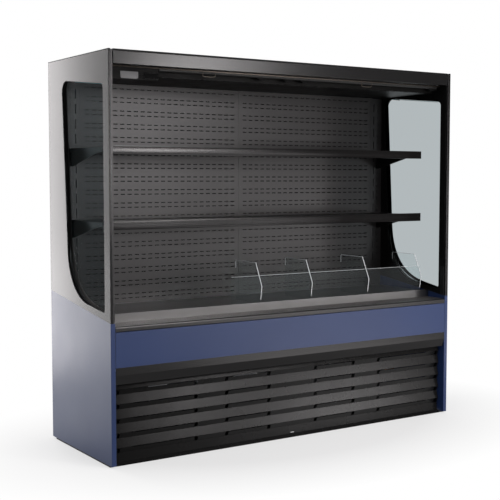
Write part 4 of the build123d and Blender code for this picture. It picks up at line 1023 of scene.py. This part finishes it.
@dataclass
class Canopy(Assembly):
    """Night blind and its pull bar, window edges, and the controller under the canopy."""

    blind_y: float = -306.7
    bar_half: float = 1068.0
    bar_height: float = 8.7
    handle_centre: float = 514.0
    handle_reach: float = 37.0
    ripple: float = 0.00012
    clip_places: tuple[float, ...] = (-175.0, -8.0, 105.0, 1038.0)
    frit: float = 24.0
    pane_head: Pair = (191.0, 1899.0)
    pane_foot: Pair = (124.0, 797.0)

    def pull_bar(self) -> None:
        """Rounded bar with two looped handles."""
        low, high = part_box("blind_pull_bar")
        top, y, foot = high.z * 1000, self.blind_y, low.z * 1000 + 3
        bottom = top - self.bar_height
        bm = bmesh.new()
        box(bm, mm(-self.bar_half, y - 4, bottom), mm(self.bar_half, y + 4, top), 0.0018)
        for side in SIDES:
            loop = [mm(side * self.handle_centre + way * self.handle_reach, y, z)
                    for way, z in ((-1, bottom + 2), (-1, foot), (1, foot), (1, bottom + 2))]
            tube(bm, rounded(loop, 0.012, 6), 0.0028, 4)
        self.piece("pull_bar", bm, Finishes.BAR, ("blind_pull_bar",), "blind_bar")

    def cloth(self) -> None:
        """Woven blind that comes off the roller down to the bar."""
        low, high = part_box("blind_cloth")
        bm = bmesh.new()
        verts = bmesh.ops.create_grid(bm, x_segments=60, y_segments=48, size=1.0)["verts"]
        for vert in verts:
            across, share = vert.co.x, (vert.co.y + 1) / 2
            wave = self.ripple * math.sin(across * 9) * share
            vert.co = (across * high.x, self.blind_y / 1000 + wave,
                       low.z + (high.z - low.z) * share)
        made = self.piece("night_blind", bm, Finishes.CLOTH, ("blind_cloth",), rides=False)
        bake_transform(made)

    def clips(self) -> None:
        """Folded clips that hold the light cover behind the fascia."""
        low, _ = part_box("canopy_light")
        top, y = low.z * 1000 + 0.5, low.y * 1000
        bm = bmesh.new()
        for x in self.clip_places:
            box(bm, mm(x - 34, y + 4, top - 7), mm(x + 34, y + 26, top), 0.0015)
            box(bm, mm(x - 22, y + 8, top - 13), mm(x + 22, y + 22, top - 6), 0.0015)
        self.piece("light_clips", bm, Finishes.MATT)

    def pane_edge_glow(self) -> None:
        """Painted teal glow along the cut upper edge of both panes."""
        low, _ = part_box("side_glass")
        near, far = low.x * 1000 + 0.6, low.x * 1000 + 5.4
        bm = bmesh.new()
        for side in SIDES:
            xs = sorted((-side * near, -side * far))
            band = ((-285, 1846.5), (150, 1891), (150, 1893), (-285, 1848.5))
            prism(bm, [mm(xs[0], y, z) for y, z in band], mm(xs[1] - xs[0], 0, 0))
        self.piece("pane_edge_glow", bm, Finishes.GLASS_EDGE_GLOW)

    def frits(self) -> None:
        """Black band printed along the rear edge of each pane."""
        low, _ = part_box("side_glass")
        edges = []
        for inset in (0.0, self.frit):
            drop = inset / 4
            head = mm(0, self.pane_head[0] - inset, self.pane_head[1] - drop)
            foot = mm(0, self.pane_foot[0] - inset, self.pane_foot[1] + inset)
            middle = head.lerp(foot, 0.35)
            start, end = mm(0, 60, 1885 - drop), mm(0, -290, 748 + drop)
            edges.append(rounded([start, head, middle], (55 - inset / 2) / 1000, 6)
                         + rounded([middle, foot, end], (300 - inset / 2) / 1000, 14))
        band = edges[0] + edges[1][::-1]
        bm = bmesh.new()
        for x in (low.x - 0.0003, -low.x - 0.0001):
            prism(bm, [Vector((x, corner.y, corner.z)) for corner in band], mm(0.4, 0, 0))
        self.piece("pane_frits", bm, Finishes.MATT)

    def controller(self) -> None:
        """Bezel round the display and screws on the pale plate."""
        low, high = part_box("controller_display")
        left, right = low.x + 0.003, high.x - 0.003
        bottom, top = low.z + 0.003, high.z - 0.003
        loop = [Vector((x, low.y, z)) for x, z in (
            (left, bottom), (left, top), (right, top), (right, bottom))]
        bm = bmesh.new()
        tube(bm, rounded(loop, 0.002, 3, True), 0.0009, 2, True)
        self.piece("display_bezel", bm, Finishes.PLASTIC)
        low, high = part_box("controller_plate")
        spots = [Vector((x, low.y, (low.z + high.z) / 2)) for x in (low.x + 0.007, high.x - 0.007)]
        self.screws("plate_screws", spots, (0, -1, 0), Finishes.PLATE, 2.5)

    def build(self) -> None:
        """Make the canopy's pieces."""
        for make in (self.pull_bar, self.cloth, self.clips, self.pane_edge_glow, self.frits,
                     self.controller):
            make()


@dataclass
class MachineSpace(Assembly):
    """Compressor, coils, fans and lines."""

    shell: float = 84.5
    blades: int = 5
    blade_sheet: float = 1.8
    bore: float = 4.1

    def compressor(self) -> None:
        """Welded shell with its feet and terminal cover."""
        low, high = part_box("compressor")
        centre = (low + high) / 2
        base = low.z + 0.014
        tall, shell = (high.z - base) * 1000, self.shell
        bm = bmesh.new()
        lathe(bm, ((0, 0), (60, 0), (78, 5), (shell, 18), (shell, tall * 0.48),
                   (shell + 0.5, tall * 0.49), (shell + 0.5, tall * 0.53), (shell, tall * 0.54),
                   (84, tall - 48), (80, tall - 27), (66, tall - 10), (42, tall - 2), (0, tall)),
              along((0, 0, 1), (centre.x, centre.y, base)), 40)
        box(bm, Vector((low.x, low.y + 0.04, low.z + 0.01)),
            Vector((high.x, high.y - 0.04, low.z + 0.016)), 0.002)
        for x in (low.x + 0.016, high.x - 0.016):
            for y in (low.y + 0.052, high.y - 0.052):
                lathe(bm, ((0, 0), (13, 0), (14, 3), (14, 7), (11, 9), (6, 9), (6, 19), (0, 19)),
                      along((0, 0, 1), (x, y, low.z)), 14)
        box(bm, Vector((centre.x - 0.032, high.y - 0.004, base + 0.07)),
            Vector((centre.x + 0.032, high.y, base + 0.15)), 0.002)
        self.piece("compressor_shell", bm, Finishes.SHELL, ("compressor",))

    def finned(self, name: str, spare: float, pitch: float, across: int, levels: int) -> None:
        """Finned coil with end plates, tubes and return bends.

        Args:
            name: Start of its pieces' names and of its CAD node's name.
            spare: Part of its width that its end plates and bends take, in metres.
            pitch: Distance between fins, in metres.
            across: Number of tubes through its depth.
            levels: Number of tubes in its height.
        """
        node = name + "_coil"
        low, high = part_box(node)
        plate = high.x - low.x - spare
        left = low.x + 0.002
        right = left + plate
        front, back, top = low.y + 0.006, high.y - 0.006, high.z - 0.008
        bm = bmesh.new()
        for x in spaced(left + pitch / 2, pitch, int(plate / pitch)):
            box(bm, Vector((x - 0.0003, front, low.z)), Vector((x + 0.0003, back, top)))
        self.piece(name + "_fins", bm, Finishes.FINS, (node,))
        bm = bmesh.new()
        for x in (left - 0.002, right):
            box(bm, Vector((x, low.y, low.z)), Vector((x + 0.002, high.y, high.z)))
        self.piece(name + "_plates", bm, Finishes.GALVANISED, (node,))
        bm = bmesh.new()
        depth, rise = (back - front) / across, (top - low.z) / levels
        heights = spaced(low.z + rise / 2, rise, levels)
        start = left - 0.001
        end = right + min(0.012, max(0.004, high.x - right - 0.004))
        for y in spaced(front + depth / 2, depth, across):
            for first, second in zip(heights[::2], heights[1::2]):
                bend = [Vector((x, y, z)) for x, z in (
                    (start, first), (end, first), (end, second), (start, second))]
                tube(bm, rounded(bend, min(0.011, (second - first) / 2 - 0.0005), 4), 0.004, 2)
        self.piece(name + "_tubes", bm, Finishes.COPPER, (node,))

    def blade(self, turn: float, hub: float, tip: float, length: float
              ) -> Callable[[float, float], Vector]:
        """Shape of one twisted, cambered blade.

        Args:
            turn: Its angle round the hub, in radians.
            hub: Radius of the hub, in millimetres.
            tip: Radius at the blade tips, in millimetres.
            length: Length of the hub, in millimetres.

        Returns:
            Function from the place on a sheet, -1 to 1 both ways, to the place in the fan.
        """
        def shape(chord: float, rise: float) -> Vector:
            """Find a point of the blade.

            Args:
                chord: Its place along the chord, from -1 to 1.
                rise: Its place from root to tip, from -1 to 1.

            Returns:
                The point, with the fan's axis as Z.
            """
            share = (rise + 1) / 2
            radius = hub - 1.5 + (tip - hub + 1.0) * share
            pitch = math.radians(40 - 16 * share)
            width = (0.62 + 0.22 * share) * hub * (1 - 0.15 * abs(chord) * share)
            offset = chord * width
            angle = turn + offset * math.cos(pitch) / radius * 0.9
            height = offset * math.sin(pitch) * 0.85 + 1.6 * (1 - chord * chord)
            height = max(1.6 - length / 2, min(length / 2 - 1.6, height))
            return mm(radius * math.cos(angle), radius * math.sin(angle), length / 2 + height)

        return shape

    def fan(self, name: str, node: str, body: str, middle: Pair, hub: float,
            tip: float) -> None:
        """Fan with twisted, cambered blades.

        Args:
            name: Name of the piece.
            node: CAD node that it replaces.
            body: Body that it turns with.
            middle: X and Z of its axis, in metres.
            hub: Radius of the hub, in millimetres.
            tip: Radius at the blade tips, in millimetres.
        """
        low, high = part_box(node)
        length = (high.y - low.y) * 1000
        place = along((0, 1, 0), (middle[0], low.y, middle[1]))
        bm = bmesh.new()
        lathe(bm, ((self.bore, 0), (hub * 0.8, 0), (hub * 0.97, length * 0.12),
                   (hub, length * 0.3), (hub, length), (hub - 2, length), (hub - 2, 4), (9, 4),
                   (9, length - 2), (self.bore, length - 2), (self.bore, 0)), place, 30)
        for number in range(self.blades):
            before = set(bm.verts)
            shape = self.blade(math.tau * number / self.blades, hub, tip, length)
            verts = bmesh.ops.create_grid(bm, x_segments=6, y_segments=6, size=1.0)["verts"]
            faces = list({face for vert in verts for face in vert.link_faces})
            for vert in verts:
                vert.co = shape(vert.co.x, vert.co.y)
            bmesh.ops.recalc_face_normals(bm, faces=faces)
            bmesh.ops.solidify(bm, geom=faces, thickness=self.blade_sheet / 1000)
            made = [vert for vert in bm.verts if vert not in before]
            bmesh.ops.transform(bm, matrix=place, verts=made)
        self.piece(name, bm, Finishes.PLASTIC, (node,), body)

    def lines(self) -> None:
        """Copper lines between compressor, condenser and tub."""
        discharge = ((712.3, -215, 272), (820, -215, 272), (820, -55.3, 272))
        liquid = ((247.7, -215, 153), (190, -215, 153), (190, 150, 153), (190, 150, 469.7))
        suction = ((848.3, 30, 327.3), (848.3, 30, 425), (848.3, 150, 425), (848.3, 150, 469.7))
        bm = bmesh.new()
        for route in (discharge, liquid, suction):
            tube(bm, rounded([mm(*point) for point in route], 0.02, 8), 0.005, 4)
        self.piece("copper_lines", bm, Finishes.COPPER, ("refrigerant_lines",))

    def build(self) -> None:
        """Make what stands in the machine space and under the deck."""
        self.compressor()
        self.finned("evaporator", 0.018, 0.006, 4, 4)
        self.finned("condenser", 0.004, 0.0035, 2, 12)
        for number, x in enumerate((-0.7, 0.0, 0.7), 1):
            self.fan(f"cold_fan_{number}", f"evaporator_fan_{number}", f"evap_fan_{number}",
                     (x, 0.6095), 26, 61.5)
        self.fan("warm_fan", "condenser_fan", "cond_fan", (0.48, 0.233), 46, 114)
        self.lines()


@dataclass
class Rear(Assembly):
    """Louvred vents, screws, cable gland and feet."""

    banks: Triple = (-620.0, 0.0, 620.0)
    bank_width: float = 420.0
    louvres: int = 6
    louvre_pitch: float = 45.0
    louvre_slot: float = 14.0
    foot_places: Triple = (-1.0, 0.0, 1.0)

    def vents(self) -> None:
        """Sheet with three banks of hooded louvres."""
        low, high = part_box("rear_vent_cover")
        middle, back = (low.z + high.z) / 2 * 1000, high.y * 1000
        pitch = self.louvre_pitch
        rows = spaced(middle - pitch * (self.louvres - 1) / 2, pitch, self.louvres)
        bm = bmesh.new()
        punched(bm, slots(low.x * 1000, high.x * 1000, self.banks, self.bank_width),
                slots(low.z * 1000, high.z * 1000, rows, self.louvre_slot),
                Matrix.Translation((0, low.y, 0)) @ UPRIGHT, low.y - high.y)
        hood = ((-0.2, 9), (3, 7), (9, -10), (8, -10.5), (2, 5.5), (-0.2, 7.4))
        for bank in self.banks:
            start = bank - self.bank_width / 2 - 2
            for row in rows:
                prism(bm, [mm(start, back + y, row + z) for y, z in hood],
                      mm(self.bank_width + 4, 0, 0))
        self.piece("vent_cover", bm, Finishes.GALVANISED, ("rear_vent_cover",))

    def fasteners(self) -> None:
        """Screws round the vents and along the roof."""
        low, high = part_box("rear_vent_cover")
        spots = [Vector((x, high.y, z)) for x in spaced(-1.05, 0.525, 5)
                 for z in (low.z + 0.012, high.z - 0.012)]
        self.screws("vent_screws", spots, (0, 1, 0), Finishes.SCREW)
        _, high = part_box("roof_panel")
        spots = [Vector((x, high.y - 0.03, high.z)) for x in spaced(-1.04, 0.52, 5)]
        self.screws("roof_screws", spots, (0, 0, 1), Finishes.SCREW, 4.0)

    def gland(self) -> None:
        """Cable gland with a ribbed dome nut."""
        low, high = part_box("cable_gland")
        centre = (low + high) / 2
        place = along((0, 1, 0), (centre.x, low.y, centre.z))
        bm = bmesh.new()
        hexagon(bm, place, 0, 0.004, 0.013)
        lathe(bm, ((0, 4), (11, 4), (11.4, 5.5), (10.5, 8), (8, 10), (6, 10), (5.6, 6), (0, 6)),
              place)
        self.piece("gland_nut", bm, Finishes.PLASTIC, ("cable_gland",))

    def feet(self) -> None:
        """Levelling feet with their stems and lock nuts."""
        low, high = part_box("levelling_feet")
        thread = [(6.6 if ring % 2 else 7.2, 10 + ring) for ring in range(20)]
        bm = bmesh.new()
        for x in self.foot_places:
            for y in (low.y + 0.022, high.y - 0.022):
                place = along((0, 0, 1), (x, y, low.z))
                lathe(bm, ((0, 0), (20, 0), (22, 2), (22, 5), (18, 8), (8, 9.5), (7, 10)), place)
                lathe(bm, (*thread, (0, 29.9)), place, 12)
                hexagon(bm, place, 0.013, 0.019, 0.0125)
        self.piece("feet", bm, Finishes.RUBBER, ("levelling_feet",))

    def build(self) -> None:
        """Make the rear and the feet."""
        for make in (self.vents, self.fasteners, self.gland, self.feet):
            make()


@dataclass(frozen=True)
class Lamp:
    """Soft box: its middle, the point it faces, width and height, watts and lean in degrees."""

    name: str
    where: Triple
    aim: Triple
    size: Pair
    power: float
    lean: float = 0.0

    def build(self, tone: Triple) -> None:
        """Hang the lamp, out of the camera's sight.

        Args:
            tone: Colour of its light.
        """
        data = bpy.data.lights.new(self.name, "AREA")
        data.shape = "RECTANGLE"
        data.size, data.size_y = self.size
        data.energy = self.power
        data.color = tone
        made = shown(self.name, data)
        made.location = self.where
        facing = (Vector(self.aim) - Vector(self.where)).to_track_quat("-Z", "Y")
        turned = facing @ Quaternion((0, 0, 1), math.radians(self.lean))
        made.rotation_euler = turned.to_euler()
        made.visible_camera = False


@dataclass
class Studio:
    """Floor, lamps, world and camera."""

    eye: Triple = (-3.221, -4.813, 1.399)
    yaw: float = 33.25
    pitch: float = -3.99
    lens: float = 74.2
    daylight: float = 0.55
    dim: float = 0.06
    bright: float = 0.8
    horizon: Pair = (-0.25, 0.35)
    tone: Triple = (1.0, 0.965, 0.97)
    mirror_gain: float = 1.35
    near_glow: float = 0.53
    floor_grey: float = 0.35
    floor_fade: Pair = (0.7, 1.25)
    floor_mirror: Pair = (-0.9, 0.3)
    lamps: tuple[Lamp, ...] = (
        Lamp("backdrop_box", (-1.2, 2.2, 1.35), (-1.2, 0.0, 1.35), (1.6, 3.2), 74),
        Lamp("wall_box", (1.75, -5.0, 1.8), (0.0, -0.4, 1.4), (0.7, 1.5), 48, -10),
        Lamp("fascia_box", (2.3, -5.0, 2.66), (0.0, -0.4, 1.6), (1.1, 0.5), 17),
        Lamp("foot_box", (4.0, -5.0, 0.95), (0.5, -0.4, 0.6), (1.6, 0.9), 28),
        Lamp("apron_box", (1.6, -2.2, 0.02), (1.6, -2.2, 1.0), (2.0, 2.0), 25),
        Lamp("top_box", (0.6, -3.4, 4.6), (0.2, 0.0, 0.9), (2.4, 2.0), 100),
    )

    def camera(self) -> None:
        """Put the camera at the photograph's angle."""
        data = bpy.data.cameras.new("camera")
        data.lens = self.lens
        data.sensor_width = 36.0
        made = shown("camera", data)
        made.location = self.eye
        made.rotation_euler = (math.radians(90 + self.pitch), 0, -math.radians(self.yaw))
        bpy.context.scene.camera = made

    def seen(self, nodes: Nodes, where: Socket, *levels: float) -> Socket:
        """How much of the white background a ray sees.

        Args:
            nodes: The nodes under work.
            where: The place or direction of what the ray meets.
            levels: Share that a mirror or metal shows in front of the case and behind it,
                and the places along Y where that share starts and stops changing.

        Returns:
            1 for a ray from the camera or through glass, that share for a mirrored one,
            and 0 for one that only lights the case.
        """
        path = nodes.add("LightPath")
        mirrored = nodes.ranged(nodes.coordinate(where, 1), *levels)
        total = nodes.math("MULTIPLY", path.outputs["Is Glossy Ray"], mirrored)
        for name in ("Is Camera Ray", "Is Transmission Ray"):
            total = nodes.math("ADD", total, path.outputs[name])
        return total

    def world(self) -> None:
        """White surroundings behind the case and a dim room in front of it."""
        world = bpy.data.worlds.new("studio_world")
        bpy.context.scene.world = world
        nodes = Nodes(world)
        direction = nodes.add("TexCoord").outputs["Generated"]
        seen = self.seen(nodes, direction, self.dim, self.bright, *self.horizon)
        diffuse = nodes.add("LightPath").outputs["Is Diffuse Ray"]
        lit = nodes.ranged(diffuse, 0.0, self.daylight, 0.0, 1.0)
        nodes.finish(nodes.add("Background", Color=(1.0, 1.0, 1.0, 1.0),
                               Strength=nodes.math("ADD", seen, lit)), "OutputWorld")

    def floor(self) -> None:
        """Pale floor that fades to white away from the case and keeps its shadow."""
        bm = bmesh.new()
        bmesh.ops.create_grid(bm, x_segments=2, y_segments=2, size=14.0)
        mesh = bpy.data.meshes.new("studio_floor")
        bm.to_mesh(mesh)
        bm.free()
        made = shown("studio_floor", mesh)
        nodes = Nodes(bpy.data.materials.new("pale_floor"))
        plain = nodes.add("BsdfDiffuse", Color=(*[self.floor_grey] * 3, 1.0))
        glow = nodes.add("Emission", Strength=self.near_glow)
        reach = nodes.add("VectorMath", operation="LENGTH", Vector=nodes.place((0.66, 1.0, 1.0)))
        glossy = nodes.add("LightPath").outputs["Is Glossy Ray"]
        gain = nodes.ranged(glossy, 1.0, self.mirror_gain, 0.0, 1.0)
        both = nodes.join(
            "MixShader", nodes.join("AddShader", plain, glow), nodes.add("Emission", Strength=gain),
            Fac=nodes.ranged(reach.outputs["Value"], 0.0, 1.0, *self.floor_fade),
        )
        seen = self.seen(nodes, nodes.place(), 0.0, 1.0, *self.floor_mirror)
        mesh.materials.append(nodes.finish(nodes.join("MixShader", plain, both, Fac=seen)))

    def build(self) -> None:
        """Set up the studio."""
        bpy.context.scene.view_settings.view_transform = "Standard"
        self.camera()
        self.world()
        self.floor()
        for lamp in self.lamps:
            lamp.build(self.tone)


def main() -> None:
    """Build the studio and every assembly, and log each piece."""
    logging.basicConfig(level=logging.INFO, format="%(name)s: %(message)s")
    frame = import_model()
    Studio().build()
    palette = Palette()
    palette.carry(frame["nodes"])
    for assembly in (BackWall, Shelving, AirGrilles, ProduceBin, Canopy, MachineSpace, Rear):
        log.info("assembly %s", assembly.__name__)
        assembly(palette).build()


if __name__ == "__main__":
    main()
